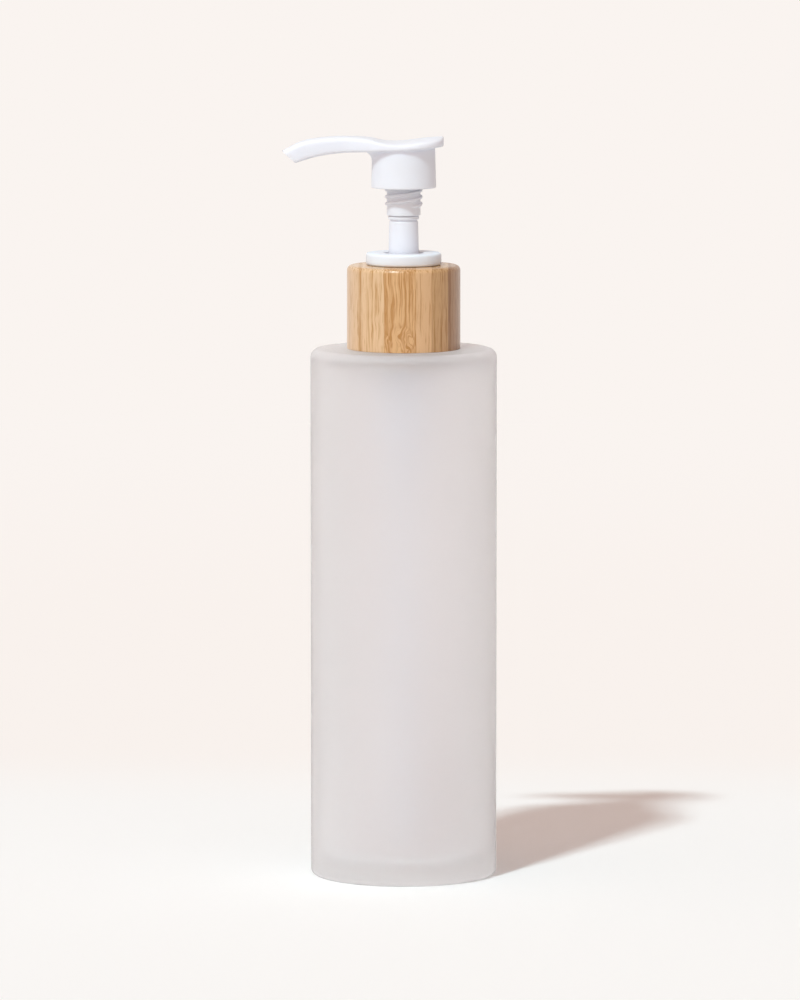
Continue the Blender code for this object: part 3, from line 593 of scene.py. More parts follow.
bamboo = Finish("bamboo", Coat_Weight=0.60, Coat_Roughness=0.25)
x, y, z = bamboo.axes()
near = [((part - middle) * (1.0 / reach)) for part, middle, reach
        in zip((x, y, z), NODE_PLACE, NODE_REACH)]
near = near[0] * near[0] + near[1] * near[1] + near[2] * near[2]
knot = 1.0 - near.ramp(0.1, 1.0)
swirl = bamboo.noise(bamboo.stretched((430.0, 430.0, 230.0)), detail=1.0) - 0.5
wave = bamboo.noise(bamboo.stretched((160.0, 160.0, 190.0)), detail=1.0) - 0.5
bent = x + knot * swirl * 0.0048 + wave * 0.0008
color = STRIP_TONES_AND_SHADE[0]
density = x * 0.0 + STRIP_GRAIN[0]
for i, edge in enumerate(STRIP_EDGES):
    color = bamboo.blend(x.over(edge), color, STRIP_TONES_AND_SHADE[i + 1])
    density = density + x.over(edge) * (STRIP_GRAIN[i + 1] - STRIP_GRAIN[i])
grain_space = bamboo.add("ShaderNodeCombineXYZ", sockets={0: bent, 1: y + density * 0.01, 2: z})


def fibres(across, along):
    """Noise drawn out along the fibres: features per metre across them and along them."""
    space = bamboo.add("ShaderNodeMapping", sockets={0: grain_space, 3: (across, across, along)})
    return bamboo.noise(space, detail=2.0)


rings = 1.0 - swirl.size().ramp(0.01, 0.07)
broad = fibres(420.0, 60.0)
streak = fibres(2100.0, 80.0)
fleck = fibres(3400.0, 260.0)
bundle = x * 0.0
for middle, reach, strength in BUNDLES:
    bundle = bundle + (1.0 - (bent - middle).size().ramp(0.0, reach)) * strength
on_end = z.ramp(COLLAR_TOP - 0.0012, COLLAR_TOP - 0.0003)
long_marks = (streak + density * 0.09).ramp(0.54, 0.72) * 0.75
short_marks = (fleck + density * 0.08).ramp(0.58, 0.72) * 0.45
thick_marks = bundle * (streak * 1.2 + 0.35) + (broad - 0.5) * 0.5
end_marks = on_end * (fleck.ramp(0.46, 0.62) * 0.5 - 0.15)
marks = long_marks + short_marks + thick_marks + rings * knot * 0.90 + end_marks
tinted = bamboo.add("ShaderNodeMix", {"data_type": "RGBA", "blend_type": "MULTIPLY"},
                    {0: marks.ramp(-0.25, 1.25), 6: color, 7: (*STREAK_TINT, 1.0)}, 2)
bamboo.set("Base Color", tinted)
bamboo.set("Roughness", 0.40 + marks * 0.10)
bamboo.bump(streak * 0.6 + fleck * 0.4, 0.00003, 0.6)
print("bamboo,", len(STRIP_EDGES) + 1, "strips")

# %% [markdown]
# Bamboo collar
#
# The ring hides the screw cap. Its top edge is rounded over, and its lower edge is only eased. It
# reaches a little lower than the CAD model's, so that no dark gap shows over the glass.

# %% Bamboo collar
COLLAR_INNER = 0.0135
EASE = 0.0002                    # the wooden ring comes this much closer to the glass
COLLAR_CEILING = COLLAR_TOP - 0.0012
COVER_HOLE = 0.00814

collar = turned("bamboo_collar_shape", (
    (COLLAR_RADIUS, COLLAR_TOP, 0.0014, 12),
    (COLLAR_RADIUS, COLLAR_LOW - EASE, 0.0001, 2),
    (COLLAR_INNER, COLLAR_LOW - EASE, 0.0002, 2),
    (COLLAR_INNER, COLLAR_CEILING, 0.0004, 2),
    (COVER_HOLE, COLLAR_CEILING),
    (COVER_HOLE, COLLAR_TOP, 0.0003, 6),
), bamboo, around=192)
settle(collar, "closure")

# %% [markdown]
# Plastics and steel
#
# Three plastics make the pump. The head, stem and lock ring are white polypropylene with a soft
# sheen. The outer part of the lock ring's disc is painted a cooler white: a painted tint that takes
# out the warm light the bamboo throws on it. The cap, cylinder, rod and dip tube are the same
# plastic without pigment, which is milky and lets some light through. The gasket and piston are
# softer and duller. The spring and ball are bright steel. Each varies faintly in tone, shine and
# surface, as moulded and drawn pieces do.

# %% Plastics and steel
# The disc's cooler white is a painted tint against the warm bounce light from the bamboo.
PAINTED_COOL_RADIUS = 0.0080             # the disc's cooler white starts here
PAINTED_COOL_HEIGHT = 0.004              # and reaches this far over the collar

white = Finish("white_plastic", IOR=1.49, Subsurface_Weight=0.5,
               Subsurface_Radius=(0.0020, 0.0019, 0.0019), Subsurface_Scale=1.0)
cloud = white.noise(white.place(), scale=260.0, detail=3.0)
peel = white.noise(white.place(), scale=2600.0, detail=2.0)
x, y, z = white.axes()
painted_cool_disc = (x * x + y * y).over(PAINTED_COOL_RADIUS ** 2) * z.over(COLLAR_TOP) * z.under(COLLAR_TOP + PAINTED_COOL_HEIGHT)
moulded = white.blend(cloud, (0.822, 0.848, 0.922), (0.804, 0.832, 0.910))
# painted cool tint on the disc's outer part, against the bamboo's warm bounce light
white.set("Base Color", white.blend(painted_cool_disc, moulded, (0.800, 0.870, 1.000)))
white.set("Roughness", 0.50 + cloud * 0.10)
white.bump(peel, 0.00002, 0.25)

milky = Finish("natural_plastic", IOR=1.49, Transmission_Weight=0.05)
cloud = milky.noise(milky.place(), scale=300.0, detail=3.0)
milky.set("Base Color", milky.blend(cloud, (0.93, 0.945, 0.995), (0.90, 0.915, 0.965)))
milky.set("Roughness", 0.34 + cloud * 0.14)
milky.bump(cloud, 0.00003, 0.3)

waxy = Finish("soft_plastic")
cloud = waxy.noise(waxy.place(), scale=500.0, detail=3.0)
waxy.set("Base Color", waxy.blend(cloud, (0.78, 0.79, 0.80), (0.70, 0.71, 0.73)))
waxy.set("Roughness", 0.50 + cloud * 0.15)
waxy.bump(cloud, 0.00003, 0.3)

steel = Finish("steel", Metallic=1.0)
drawn = steel.noise(steel.stretched((900.0, 900.0, 5200.0)), detail=2.0)
steel.set("Base Color", steel.blend(drawn, (0.70, 0.70, 0.71), (0.58, 0.58, 0.60)))
steel.set("Roughness", 0.18 + drawn * 0.14)
steel.bump(drawn, 0.00001, 0.3)
print("plastics and steel")

# %% [markdown]
# Screw cap and gasket
#
# The cap inside the collar has the nut's half of the neck thread: a ridge that points inwards and
# lies half a pitch below the bottle's, so that each sits in the other's groove.

# %% Screw cap and gasket
CAP_RADIUS, CAP_LOW, CAP_TOP = span("screw_closure")
CAP_WALL = 0.00105
CAP_TURNS = 1.25
CAP_RIDGE_ROOT, CAP_RIDGE_CREST = 0.00075, 0.0003
CAP_CEILING = CAP_TOP - 0.0012
GASKET_RADIUS, GASKET_LOW, GASKET_TOP = span("neck_gasket")
GASKET_HOLE = 0.00784
cap_inner = CAP_RADIUS - CAP_WALL
cap_crest = NECK_RADIUS + 0.0003


def cap_thread(radius, angle, height):
    """Move the cap's inner wall in under its ridge."""
    ridge = thread_height(angle, height, THREAD_START - NECK_PITCH / 2.0, NECK_PITCH, CAP_TURNS,
                          CAP_RIDGE_ROOT, CAP_RIDGE_CREST)
    return radius - (cap_inner - cap_crest) * ridge * (np.abs(radius - cap_inner) < 1e-5), height


cap = turned("screw_closure_shape", (
    (CAP_RADIUS, CAP_TOP, 0.0003, 4),
    (CAP_RADIUS, CAP_LOW, 0.0002),
    (cap_inner, CAP_LOW, 0.0002, 80),
    (cap_inner, CAP_CEILING, 0.0003, 2),
    (COVER_HOLE, CAP_CEILING),
    (COVER_HOLE, CAP_TOP),
), milky, shape=cap_thread)
settle(cap, "closure")

gasket = turned("neck_gasket_shape", (
    (GASKET_RADIUS, GASKET_TOP, 0.0002),
    (GASKET_RADIUS, GASKET_LOW, 0.0002),
    (GASKET_HOLE, GASKET_LOW, 0.0002),
    (GASKET_HOLE, GASKET_TOP, 0.0002),
), waxy)
settle(gasket, "seat")

# %% [markdown]
# Lock ring
#
# The white disc on top of the collar is the lid of the pump's cylinder. Its barrel goes down
# through the cap, its plug seals the cylinder and guides the stem, and the two ridges in its bore
# catch the head's thread when the pump is locked down.

# %% Lock ring
DISC_RADIUS, GUIDE_LOW, DISC_TOP = span("lock_ring")
DISC_LOW = COLLAR_TOP + 0.00008
LOCK_BORE = 0.00534
LOCK_CREST = 0.00480
BARREL_RADIUS = 0.00784
PLUG_RADIUS = 0.00624
GUIDE_RADIUS = 0.0051
GUIDE_BORE = 0.0043
FLANGE_RADIUS, SOCKET_LOW, FLANGE_TOP = span("pump_housing")
PLUG_LOW = FLANGE_TOP - 0.0027
LOCK_FLOOR = PLUG_LOW + 0.0016
LOCK_LEAD = 0.0037
LOCK_RIDGE = 0.00052
LOCK_RIDGE_CREST = 0.00022
LOCK_TURNS = 0.5


def lock_thread(radius, angle, height):
    """Move the lock bore's wall in under two half-turn ridges on opposite sides."""
    start_z = DISC_TOP - 0.0007 - LOCK_RIDGE - LOCK_LEAD / 2.0
    ridges = [thread_height(angle, height, start_z, LOCK_LEAD, LOCK_TURNS, LOCK_RIDGE,
                            LOCK_RIDGE_CREST, turn) for turn in (0.0, math.pi)]
    on_wall = np.abs(radius - LOCK_BORE) < 1e-5
    return radius - (LOCK_BORE - LOCK_CREST) * np.maximum(*ridges) * on_wall, height


ring = turned("lock_ring_shape", (
    (DISC_RADIUS, DISC_TOP, 0.0006, 2),
    (DISC_RADIUS, DISC_LOW, 0.0006, 2),
    (BARREL_RADIUS, DISC_LOW, 0.0, 4),
    (BARREL_RADIUS, FLANGE_TOP + 0.0003, 0.0002),
    (PLUG_RADIUS, FLANGE_TOP + 0.0003),
    (PLUG_RADIUS, PLUG_LOW, 0.0002),
    (GUIDE_RADIUS, PLUG_LOW, 0.0, 4),
    (GUIDE_RADIUS, GUIDE_LOW, 0.0002),
    (GUIDE_BORE, GUIDE_LOW, 0.0001, 4),
    (GUIDE_BORE, LOCK_FLOOR, 0.0002, 2),
    (LOCK_BORE, LOCK_FLOOR, 0.0, 50),
    (LOCK_BORE, DISC_TOP, 0.0003, 6),
), white, shape=lock_thread)
settle(ring, "pump")

# %% [markdown]
# Stem and rod
#
# The stem is a white tube that slides through the lock ring. It slims a little towards its bead,
# which the head sits on, and a spigot above the bead goes up into the head. The rod in its lower
# end carries the outlet valve's seat.

# %% Stem and rod
STEM_RADIUS, STEM_LOW, SPIGOT_TOP = span("pump_stem")
HEAD_LOW = float(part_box("actuator_head")[0].z)
STEM_SLIM = STEM_RADIUS - 0.0002
STEM_BORE = 0.0019
SPIGOT_RADIUS = 0.0032
BEAD_TOP = HEAD_LOW - 0.0001
BEAD_LOW = BEAD_TOP - 0.0010
BEAD_RADIUS = STEM_SLIM + 0.00027
GROOVE = 0.0003
ROD_LOW, ROD_TOP = (float(corner.z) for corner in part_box("piston_rod"))
ROD_RADIUS = STEM_BORE - 0.0003
SEAT_RADIUS = span("piston_rod")[0]
PISTON_RADIUS, PISTON_LOW, PISTON_TOP = span("piston")
SEAT_TOP = PISTON_LOW - 0.0003
SEAT_LOW = SEAT_TOP - 0.0020

stem = turned("pump_stem_shape", (
    (SPIGOT_RADIUS, SPIGOT_TOP, 0.0003, 4),
    (SPIGOT_RADIUS, BEAD_TOP),
    (BEAD_RADIUS, BEAD_TOP, 0.0003, 2),
    (BEAD_RADIUS, BEAD_LOW, 0.0003, 2),
    (STEM_SLIM - GROOVE, BEAD_LOW, 0.0001),
    (STEM_SLIM - GROOVE, BEAD_LOW - GROOVE, 0.0001),
    (STEM_SLIM, BEAD_LOW - 2.0 * GROOVE, 0.0002, 8),
    (STEM_RADIUS, DISC_TOP, 0.0, 8),
    (STEM_RADIUS, STEM_LOW, 0.0002),
    (STEM_BORE, STEM_LOW, 0.0002, 12),
    (STEM_BORE, SPIGOT_TOP),
), white)
settle(stem, "plunger")

rod = turned("piston_rod_shape", (
    (0.0, ROD_TOP),
    (ROD_RADIUS, ROD_TOP, 0.0003, 4),
    (ROD_RADIUS, SEAT_TOP, 0.0002),
    (SEAT_RADIUS, SEAT_TOP, 0.0003),
    (SEAT_RADIUS, SEAT_LOW, 0.0003),
    (0.0019, SEAT_LOW, 0.0003, 4),
    (0.0019, ROD_LOW, 0.0006),
    (0.0, ROD_LOW),
), milky, closed=False, around=96)
settle(rod, "plunger")

# %% [markdown]
# Piston
#
# The piston slides on the rod between the stem and the valve seat. A web joins its sleeve to a cup
# whose thin lips seal against the cylinder, one up and one down.

# %% Piston
SLEEVE_BORE = ROD_RADIUS + 0.0006
SLEEVE_RADIUS = SLEEVE_BORE + 0.0012
CUP_TOP = PISTON_TOP - 0.0009
CUP_LOW = PISTON_LOW + 0.0004
WEB_TOP = (CUP_TOP + CUP_LOW) / 2.0 + 0.0007
WEB_LOW = WEB_TOP - 0.0014
LIP_INNER = PISTON_RADIUS - 0.0007

piston = turned("piston_shape", (
    (SLEEVE_RADIUS, PISTON_TOP, 0.0002),
    (SLEEVE_RADIUS, WEB_TOP, 0.0003),
    (LIP_INNER, WEB_TOP, 0.0003),
    (LIP_INNER + 0.0003, CUP_TOP, 0.0001),
    (PISTON_RADIUS, CUP_TOP, 0.0002),
    (PISTON_RADIUS - 0.0002, (CUP_TOP + CUP_LOW) / 2.0, 0.0008),
    (PISTON_RADIUS, CUP_LOW, 0.0002),
    (LIP_INNER + 0.0003, CUP_LOW, 0.0001),
    (LIP_INNER, WEB_LOW, 0.0003),
    (SLEEVE_RADIUS, WEB_LOW, 0.0003),
    (SLEEVE_RADIUS, PISTON_LOW, 0.0002),
    (SLEEVE_BORE, PISTON_LOW, 0.0001),
    (SLEEVE_BORE, PISTON_TOP, 0.0001),
), waxy, around=128)
settle(piston, "seal")

# %% [markdown]
# Pump cylinder
#
# The cylinder hangs from its flange in the bottle's neck. Under the flange it is wide enough for
# the lock ring's plug, lower down it is the piston's bore, and at the bottom it tapers to the ball
# valve and the dip tube's socket. Two vent holes let air in behind the lotion. They are cut with
# a bar that goes right through.

# %% Pump cylinder
FLANGE_LOW = FLANGE_TOP - 0.0014
SHOULDER_RADIUS = 0.00754
COUNTERBORE = 0.00654
CYLINDER_RADIUS = 0.0064
CYLINDER_BORE = 0.0054
SPRING_RADIUS, SPRING_LOW, SPRING_TOP = span("return_spring")
CHAMBER_FLOOR = SPRING_LOW - 0.0003
BALL_RADIUS, BALL_LOW, BALL_TOP = span("check_ball")
BALL_Z = (BALL_LOW + BALL_TOP) / 2.0
POCKET_RADIUS = BALL_RADIUS + 0.0005
BALL_LIP = BALL_RADIUS - 0.0003
PORT_RADIUS = 0.0013
PORT_LOW = BALL_Z - (BALL_RADIUS + 0.0003) * math.sqrt(2.0) + PORT_RADIUS
TUBE_RADIUS, TUBE_LOW, TUBE_TOP = span("dip_tube")
SOCKET_BORE = TUBE_RADIUS + 0.0003
SOCKET_RADIUS = SOCKET_BORE + 0.00125
VENT_RADIUS = 0.0005
VENT_DROP = 0.0040               # flange to the vent holes


def combine(piece, other, operation):
    """Cut another piece out (DIFFERENCE) or join it on (UNION), and keep the finished mesh."""
    step = piece.modifiers.new("combine", "BOOLEAN")
    step.operation = operation
    step.object = other
    bpy.context.view_layer.update()
    finished = piece.evaluated_get(bpy.context.evaluated_depsgraph_get())
    made = bpy.data.meshes.new_from_object(finished)
    piece.modifiers.clear()
    piece.data = made
    bpy.data.objects.remove(other)
    shade(made)


def bar_between(name, ends, radius, sides=32):
    """A round bar along X between two places, at a height: circles carried along a line."""
    turn = np.linspace(0.0, math.tau, sides, endpoint=False)[None]
    first, last, height = ends
    places = np.linspace(first, last, 2)[:, None]
    circle = (radius * np.cos(turn), height + radius * np.sin(turn))
    return surface(name, np.stack(np.broadcast_arrays(places, *circle), -1))


cylinder = turned("pump_housing_shape", (
    (FLANGE_RADIUS, FLANGE_TOP, 0.0003, 2),
    (FLANGE_RADIUS, FLANGE_LOW, 0.0003),
    (SHOULDER_RADIUS, FLANGE_LOW, 0.0002, 4),
    (SHOULDER_RADIUS, FLANGE_LOW - 0.0063, 0.0005),
    (CYLINDER_RADIUS, FLANGE_LOW - 0.0078, 0.0005, 8),
    (CYLINDER_RADIUS, CHAMBER_FLOOR - 0.0016, 0.0008),
    (SOCKET_RADIUS, CHAMBER_FLOOR - 0.0051, 0.0005, 4),
    (SOCKET_RADIUS, SOCKET_LOW, 0.0003),
    (SOCKET_BORE, SOCKET_LOW, 0.0002, 4),
    (SOCKET_BORE, TUBE_TOP + 0.0003),
    (PORT_RADIUS, TUBE_TOP + 0.0003),
    (PORT_RADIUS, PORT_LOW, 0.0001),
    (POCKET_RADIUS, PORT_LOW + POCKET_RADIUS - PORT_RADIUS, 0.0002),
    (POCKET_RADIUS, CHAMBER_FLOOR - 0.0008, 0.0001),
    (BALL_LIP, CHAMBER_FLOOR - 0.0008, 0.0001),
    (BALL_LIP, CHAMBER_FLOOR, 0.0001),
    (CYLINDER_BORE, CHAMBER_FLOOR, 0.0004, 8),
    (CYLINDER_BORE, FLANGE_TOP - 0.0030, 0.0002),
    (COUNTERBORE, FLANGE_TOP - 0.0030, 0.0002),
    (COUNTERBORE, FLANGE_TOP, 0.0002),
), milky, around=128)
reach = SHOULDER_RADIUS + 0.001
vent = bar_between("vent", (-reach, reach, FLANGE_LOW - VENT_DROP), VENT_RADIUS)
combine(cylinder, vent, "DIFFERENCE")
settle(cylinder, "pump")

# %% [markdown]
# Ball, dip tube and spring
#
# The ball closes the inlet. The dip tube ends just over the floor of the bottle and is cut
# slantwise, so that it can't seal itself against the glass: each point of its lower end moves up by
# its distance across the cut times the slope. The spring is one wire: a circle carried along a helix
# whose end turns lie close. In use, its lower end stays with the pump and its upper end goes down
# with the stem.

# %% Ball, dip tube and spring
TUBE_BORE = TUBE_RADIUS - 0.00075
CUT_SLOPE = math.tan(math.radians(30.0))
CUT_ZONE = 0.010
SPRING_TURNS = 8
WIRE_RADIUS = 0.00045
END_GAP = 0.0005

latitude = np.linspace(0.5 * math.pi, -0.5 * math.pi, 41)[:, None]
longitude = np.linspace(0.0, math.tau, 64, endpoint=False)[None]
ball = surface("check_ball_shape", np.stack(np.broadcast_arrays(
    BALL_RADIUS * np.cos(latitude) * np.cos(longitude),
    BALL_RADIUS * np.cos(latitude) * np.sin(longitude),
    BALL_Z + BALL_RADIUS * np.sin(latitude)), -1), finish=steel)
settle(ball, "inlet_ball")


def slant_end(radius, angle, height):
    """Shear the tube's lower end: lowest at +X, and unchanged above the cut's zone."""
    share = np.clip(1.0 - (height - TUBE_LOW) / CUT_ZONE, 0.0, 1.0)
    return radius, height + share * (TUBE_RADIUS - radius * np.cos(angle)) * CUT_SLOPE


pipe = turned("dip_tube_shape", (
    (TUBE_RADIUS, TUBE_TOP, 0.0002, 24),
    (TUBE_RADIUS, TUBE_LOW),
    (TUBE_BORE, TUBE_LOW, 0.0, 24),
    (TUBE_BORE, TUBE_TOP),
), milky, shape=slant_end, around=96)
settle(pipe, "pump")


def wire(name, path, radius, finish, sides=14):
    """A round wire: at each point of the path a circle square to the path's direction.

    The circle's axes are the horizontal square to the direction, and the cross product of the two.
    """
    along = np.gradient(path, axis=0)
    along /= np.linalg.norm(along, axis=1, keepdims=True)
    level = np.cross(along, (0.0, 0.0, 1.0))
    level /= np.linalg.norm(level, axis=1, keepdims=True)
    steep = np.cross(level, along)
    turn = np.linspace(0.0, math.tau, sides, endpoint=False)[None, :, None]
    ring = level[:, None] * np.cos(turn) + steep[:, None] * np.sin(turn)
    return surface(name, path[:, None] + radius * ring, finish=finish)


turns = np.linspace(0.0, SPRING_TURNS, SPRING_TURNS * 40 + 1)
low, high = SPRING_LOW + WIRE_RADIUS, SPRING_TOP - WIRE_RADIUS
closed_rise = 2.0 * WIRE_RADIUS + END_GAP
climb = np.interp(turns, (0.0, 1.0, SPRING_TURNS - 1.0, SPRING_TURNS),
                  (low, low + closed_rise, high - closed_rise, high))
coil_radius = SPRING_RADIUS - WIRE_RADIUS
coil_angle = math.tau * turns
coil = np.stack([coil_radius * np.cos(coil_angle), coil_radius * np.sin(coil_angle), climb], -1)
spring = wire("return_spring_shape", coil, WIRE_RADIUS, steel)
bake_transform(spring)
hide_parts("return_spring")
print("spring", SPRING_TURNS, "turns")

# %% [markdown]
# Head: the blade
#
# Pad and nozzle are one flowing blade. Every section across it is a rounded box (a superellipse),
# crowned above and squarer below, between a top line and an underside line. The lines are smooth
# curves through a few points read along the blade. The pad's outline from above is a superellipse
# too. At the tip the skin turns in over the slanted face and runs back up the outlet channel, so
# the outlet is a real hole, which ends blind inside the nozzle.

# %% Head: the blade
SKIRT_RADIUS = 0.0087
SKIRT_TOP_RADIUS = 0.0084
PAD_RISE = 0.0176                # boss's lower end to the pad's underside
PAD_LOW = HEAD_LOW + PAD_RISE
PAD_REACH = float(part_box("actuator_head")[1].x)
PAD_SIDE = SKIRT_RADIUS + 0.00075
NOZZLE_LENGTH = -float(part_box("actuator_head")[0].x) - SKIRT_RADIUS
PAD_ROUND = 0.0005               # on the pad's back edge
TOP_LINE = ((-SKIRT_RADIUS - PAD_REACH, 0.00355), (-0.0152, 0.0033), (-0.0117, 0.00287),
            (-SKIRT_RADIUS, 0.00247), (-0.0042, 0.00230), (0.0010, 0.0033), (0.0060, 0.0036),
            (0.0130, 0.0033), (0.0185, 0.0023), (0.0238, -0.0003))
UNDER_LINE = ((-SKIRT_RADIUS - PAD_REACH, 0.0009), (-SKIRT_RADIUS, -0.0002), (-0.0035, -0.0002),
              (0.0010, -0.0005), (0.0080, -0.0008), (0.0145, -0.0018), (0.0202, -0.0035))
WIDTH_LINE = ((-SKIRT_RADIUS, PAD_SIDE), (-0.0020, 0.0079), (0.0013, 0.0061), (0.0053, 0.0045),
              (0.0113, 0.0040), (0.0238, 0.0034))
CHANNEL_LINE = ((-0.0027, 0.0007), (0.0013, 0.0014), (0.0073, 0.0014), (0.0133, 0.0008),
                (0.0183, -0.0004), (0.0228, -0.0024))
TIP_SLANT = 0.0036
SLANT_START = 0.0095
OUTLET_RADIUS = 0.0012
CHANNEL_STEPS = 24
CHANNEL_END = 0.002              # where the channel ends, from the skirt's wall
DISH = 0.0002
SEAM = 0.00004                   # height of the mould's parting line


def curve(stops, place):
    """Height at places on a smooth curve: cubic Hermite pieces through stops (place, height).

    The slope at a stop is the mean of the slopes beside it, weighted by their nearness.
    """
    x, y = np.array(stops).T
    slope = np.gradient(y, x)
    place = np.clip(place, x[0], x[-1])
    i = np.clip(np.searchsorted(x, place, side="right") - 1, 0, len(x) - 2)
    width = x[i + 1] - x[i]
    t = (place - x[i]) / width
    return ((2 * t ** 3 - 3 * t ** 2 + 1) * y[i] + (t ** 3 - 2 * t ** 2 + t) * width * slope[i]
            + (3 * t ** 2 - 2 * t ** 3) * y[i + 1] + (t ** 3 - t ** 2) * width * slope[i + 1])


def power(value, exponent):
    """Signed power, which keeps the side that the value is on."""
    return np.sign(value) * np.abs(value) ** exponent


def blade_lines(x):
    """Top, underside, half width, squareness over and under, and dish at places x (x is back)."""
    along = -SKIRT_RADIUS - x
    share = np.clip(x / PAD_REACH, 0.0, 1.0)
    pad_width = PAD_SIDE * (1.0 - share ** 2.5) ** 0.4
    width = np.where(x > 0.0, pad_width, curve(WIDTH_LINE, along))
    far = np.clip(-x / SKIRT_RADIUS, 0.0, 1.0)
    squareness = np.stack([2.4 + 1.8 * far, 5.0 + 1.5 * far])
    return curve(TOP_LINE, along), curve(UNDER_LINE, along), width, squareness, 1.0 - far


def blade_surface(rings=150, columns=112):
    """Rings of the blade from its back edge to the tip, and the angles of their columns."""
    back_angle = np.linspace(math.radians(89.6), 0.0, 50)
    forward = np.linspace(0.0, -SKIRT_RADIUS - NOZZLE_LENGTH, rings)[1:]
    x = np.concatenate([PAD_REACH * np.sin(back_angle), forward])
    top, under, width, squareness, dish = blade_lines(x)
    along = -SKIRT_RADIUS - x
    past = np.clip((along - SLANT_START) / (NOZZLE_LENGTH - SLANT_START), 0.0, 1.0)
    lean = TIP_SLANT * past ** 1.5
    under = np.where(lean > 0.0, curve(UNDER_LINE, along - lean), under)
    edge = np.clip(1.0 - (PAD_REACH - x) / PAD_ROUND, 0.0, 1.0)
    drop = PAD_ROUND * (1.0 - np.sqrt(1.0 - edge ** 2))
    top, under = top - drop, under + drop
    angle = (np.arange(columns) + 0.5) * math.tau / columns
    over, below = squareness[:, :, None]
    exponent = 2.0 / np.where(np.sin(angle)[None] > 0.0, over, below)
    across = power(np.cos(angle)[None], exponent)
    up = power(np.sin(angle)[None], exponent)
    share = (up + 1.0) / 2.0
    px = x[:, None] + lean[:, None] * (1.0 - share)
    pz = under[:, None] + (top - under)[:, None] * share
    dip = DISH * np.clip(dish, 0.0, 1.0) * np.clip((PAD_REACH - x) / (0.4 * PAD_REACH), 0.0, 1.0)
    pz = pz - dip[:, None] * (1.0 - across ** 2) * np.clip(up, 0.0, None)
    seam = SEAM * np.exp(-(up / 0.05) ** 2)
    py = (width[:, None] + seam) * across
    skin = np.stack([px, py, PAD_LOW + pz], -1)
    return skin, angle


def outlet_rings(last, angle):
    """Carry on from the last ring: over the tip's face to the outlet's mouth, then up the channel."""
    centre_along = np.linspace(NOZZLE_LENGTH - 0.0022, CHANNEL_END, CHANNEL_STEPS)
    centre_height = PAD_LOW + curve(CHANNEL_LINE, centre_along)
    centres = np.stack([-SKIRT_RADIUS - centre_along, np.zeros(CHANNEL_STEPS), centre_height], -1)
    side = np.array((0.0, 1.0, 0.0))
    heading = np.gradient(centres, axis=0)
    heading /= np.linalg.norm(heading, axis=1, keepdims=True)
    upward = np.cross(heading, side)
    upward *= np.sign(upward[:, 2:3])
    circle = side * np.cos(angle)[:, None]
    rise = upward[:, None] * np.sin(angle)[None, :, None]
    pipe = centres[:, None] + OUTLET_RADIUS * (circle[None] + rise)
    face_up = np.array((-TIP_SLANT, 0.0, last[:, 2].max() - last[:, 2].min()))
    face_up /= np.linalg.norm(face_up)
    middle = last.mean(0)
    mouth = middle + OUTLET_RADIUS * (circle + face_up * np.sin(angle)[:, None])
    shares = np.array((0.03, 0.10, 0.5, 0.90, 0.97))[:, None, None]
    inward = np.array((0.00012, 0.00016, 0.00016, 0.00016, 0.00022))[:, None, None]
    face = last[None] + (mouth - last)[None] * shares
    face = face + inward * np.array((1.0, 0.0, 0.0))
    return np.concatenate([face, mouth[None] + (0.0004, 0.0, 0.0001), pipe])


blade_skin, ring_angle = blade_surface()
blade_grid = np.concatenate([blade_skin, outlet_rings(blade_skin[-1], ring_angle)])
blade = surface("actuator_head_shape", blade_grid, finish=white)
print("blade", blade_grid.shape[:2])

# %% [markdown]
# Head: skirt and boss
#
# Under the pad hang a skirt and, inside it, a threaded boss that grips the stem. Both are round,
# so they are one turned outline. Where the skirt meets the blade, a fillet flares it out: small all
# round, and large under the nozzle, where the plastic has to be strong.

# %% Head: skirt and boss
BOSS_RADIUS = 0.0045
BOSS_CREST = 0.00504
BOSS_BORE = 0.0035
BOSS_TURNS = 1.5
BOSS_THREAD_START = math.radians(-60.0)
BOSS_THREAD_LOW = HEAD_LOW + 0.0031 + LOCK_LEAD * BOSS_THREAD_START / math.tau
SKIRT_INNER = 0.00734
SKIRT_RISE = 0.0074              # boss's lower end to the skirt's
SKIRT_LOW = HEAD_LOW + SKIRT_RISE
SKIRT_CEILING = PAD_LOW - 0.0024
BOSS_BORE_TOP = SPIGOT_TOP + 0.0010
EMBED = 0.0010
SMALL_FILLET = 0.00035
NOZZLE_FILLET = 0.0028


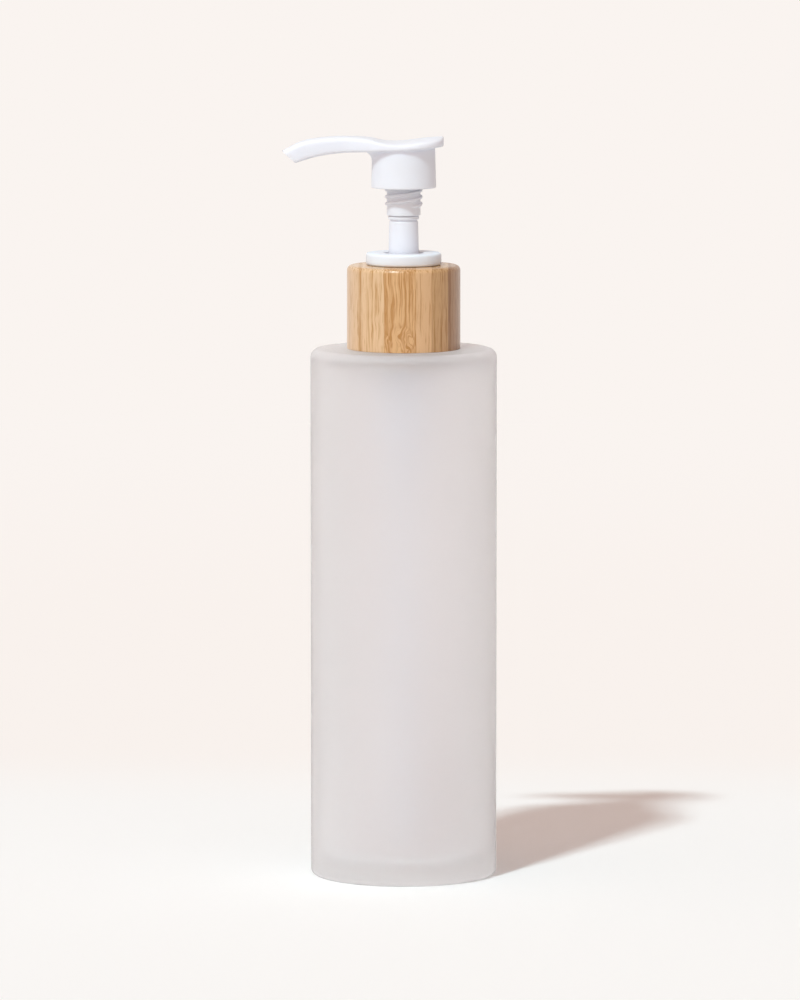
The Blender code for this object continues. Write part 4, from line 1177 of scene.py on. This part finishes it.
def underside(x, y):
    """Height of the blade's underside over the point (x, y)."""
    top, under, width, (_, squareness), _ = blade_lines(x)
    share = np.clip(np.abs(y) / width, 0.0, 0.995)
    bulge = (1.0 - share ** squareness) ** (1.0 / squareness)
    return PAD_LOW + (top + under) / 2.0 - (top - under) / 2.0 * bulge


def skirt_and_threads(radius, angle, height):
    """Flare the skirt's top into the blade, and raise the boss's two thread ridges.

    A fillet of radius f, h below the underside, stands out by f - sqrt(f^2 - (f - h)^2).
    """
    skirt_wall = (radius > SKIRT_INNER + 0.0002) & (height > SKIRT_LOW + 0.0004)
    turn = np.abs(np.mod(angle, math.tau) - math.pi)
    fade = np.clip(1.0 - turn / math.radians(52.0), 0.0, 1.0)
    fillet = SMALL_FILLET + (NOZZLE_FILLET - SMALL_FILLET) * fade * fade * (3.0 - 2.0 * fade)
    ceiling = underside(radius * np.cos(angle), radius * np.sin(angle))
    below = np.clip(ceiling - height, 0.0, fillet)
    flare = fillet - np.sqrt(fillet ** 2 - (fillet - below) ** 2)
    ridges = [thread_height(angle, height, BOSS_THREAD_LOW, LOCK_LEAD, BOSS_TURNS, LOCK_RIDGE,
                            LOCK_RIDGE_CREST, BOSS_THREAD_START + side) for side in (0.0, math.pi)]
    on_boss = np.abs(radius - BOSS_RADIUS) < 1e-5
    rise = (BOSS_CREST - BOSS_RADIUS) * np.maximum(*ridges) * on_boss
    return radius + flare * skirt_wall + rise, height


skirt = turned("skirt_and_boss", (
    (0.0, PAD_LOW + EMBED),
    (SKIRT_TOP_RADIUS, PAD_LOW + EMBED, 0.0, 90),
    (SKIRT_RADIUS, SKIRT_LOW, 0.0003, 2),
    (SKIRT_INNER, SKIRT_LOW, 0.0003, 8),
    (SKIRT_INNER, SKIRT_CEILING, 0.0004, 2),
    (BOSS_RADIUS, SKIRT_CEILING, 0.0, 100),
    (BOSS_RADIUS, HEAD_LOW, 0.0002),
    (BOSS_BORE, HEAD_LOW, 0.0002, 8),
    (BOSS_BORE, BOSS_BORE_TOP, 0.0003, 2),
    (0.0, BOSS_BORE_TOP),
), white, closed=False, shape=skirt_and_threads)

combine(blade, skirt, "UNION")
settle(blade, "actuator")
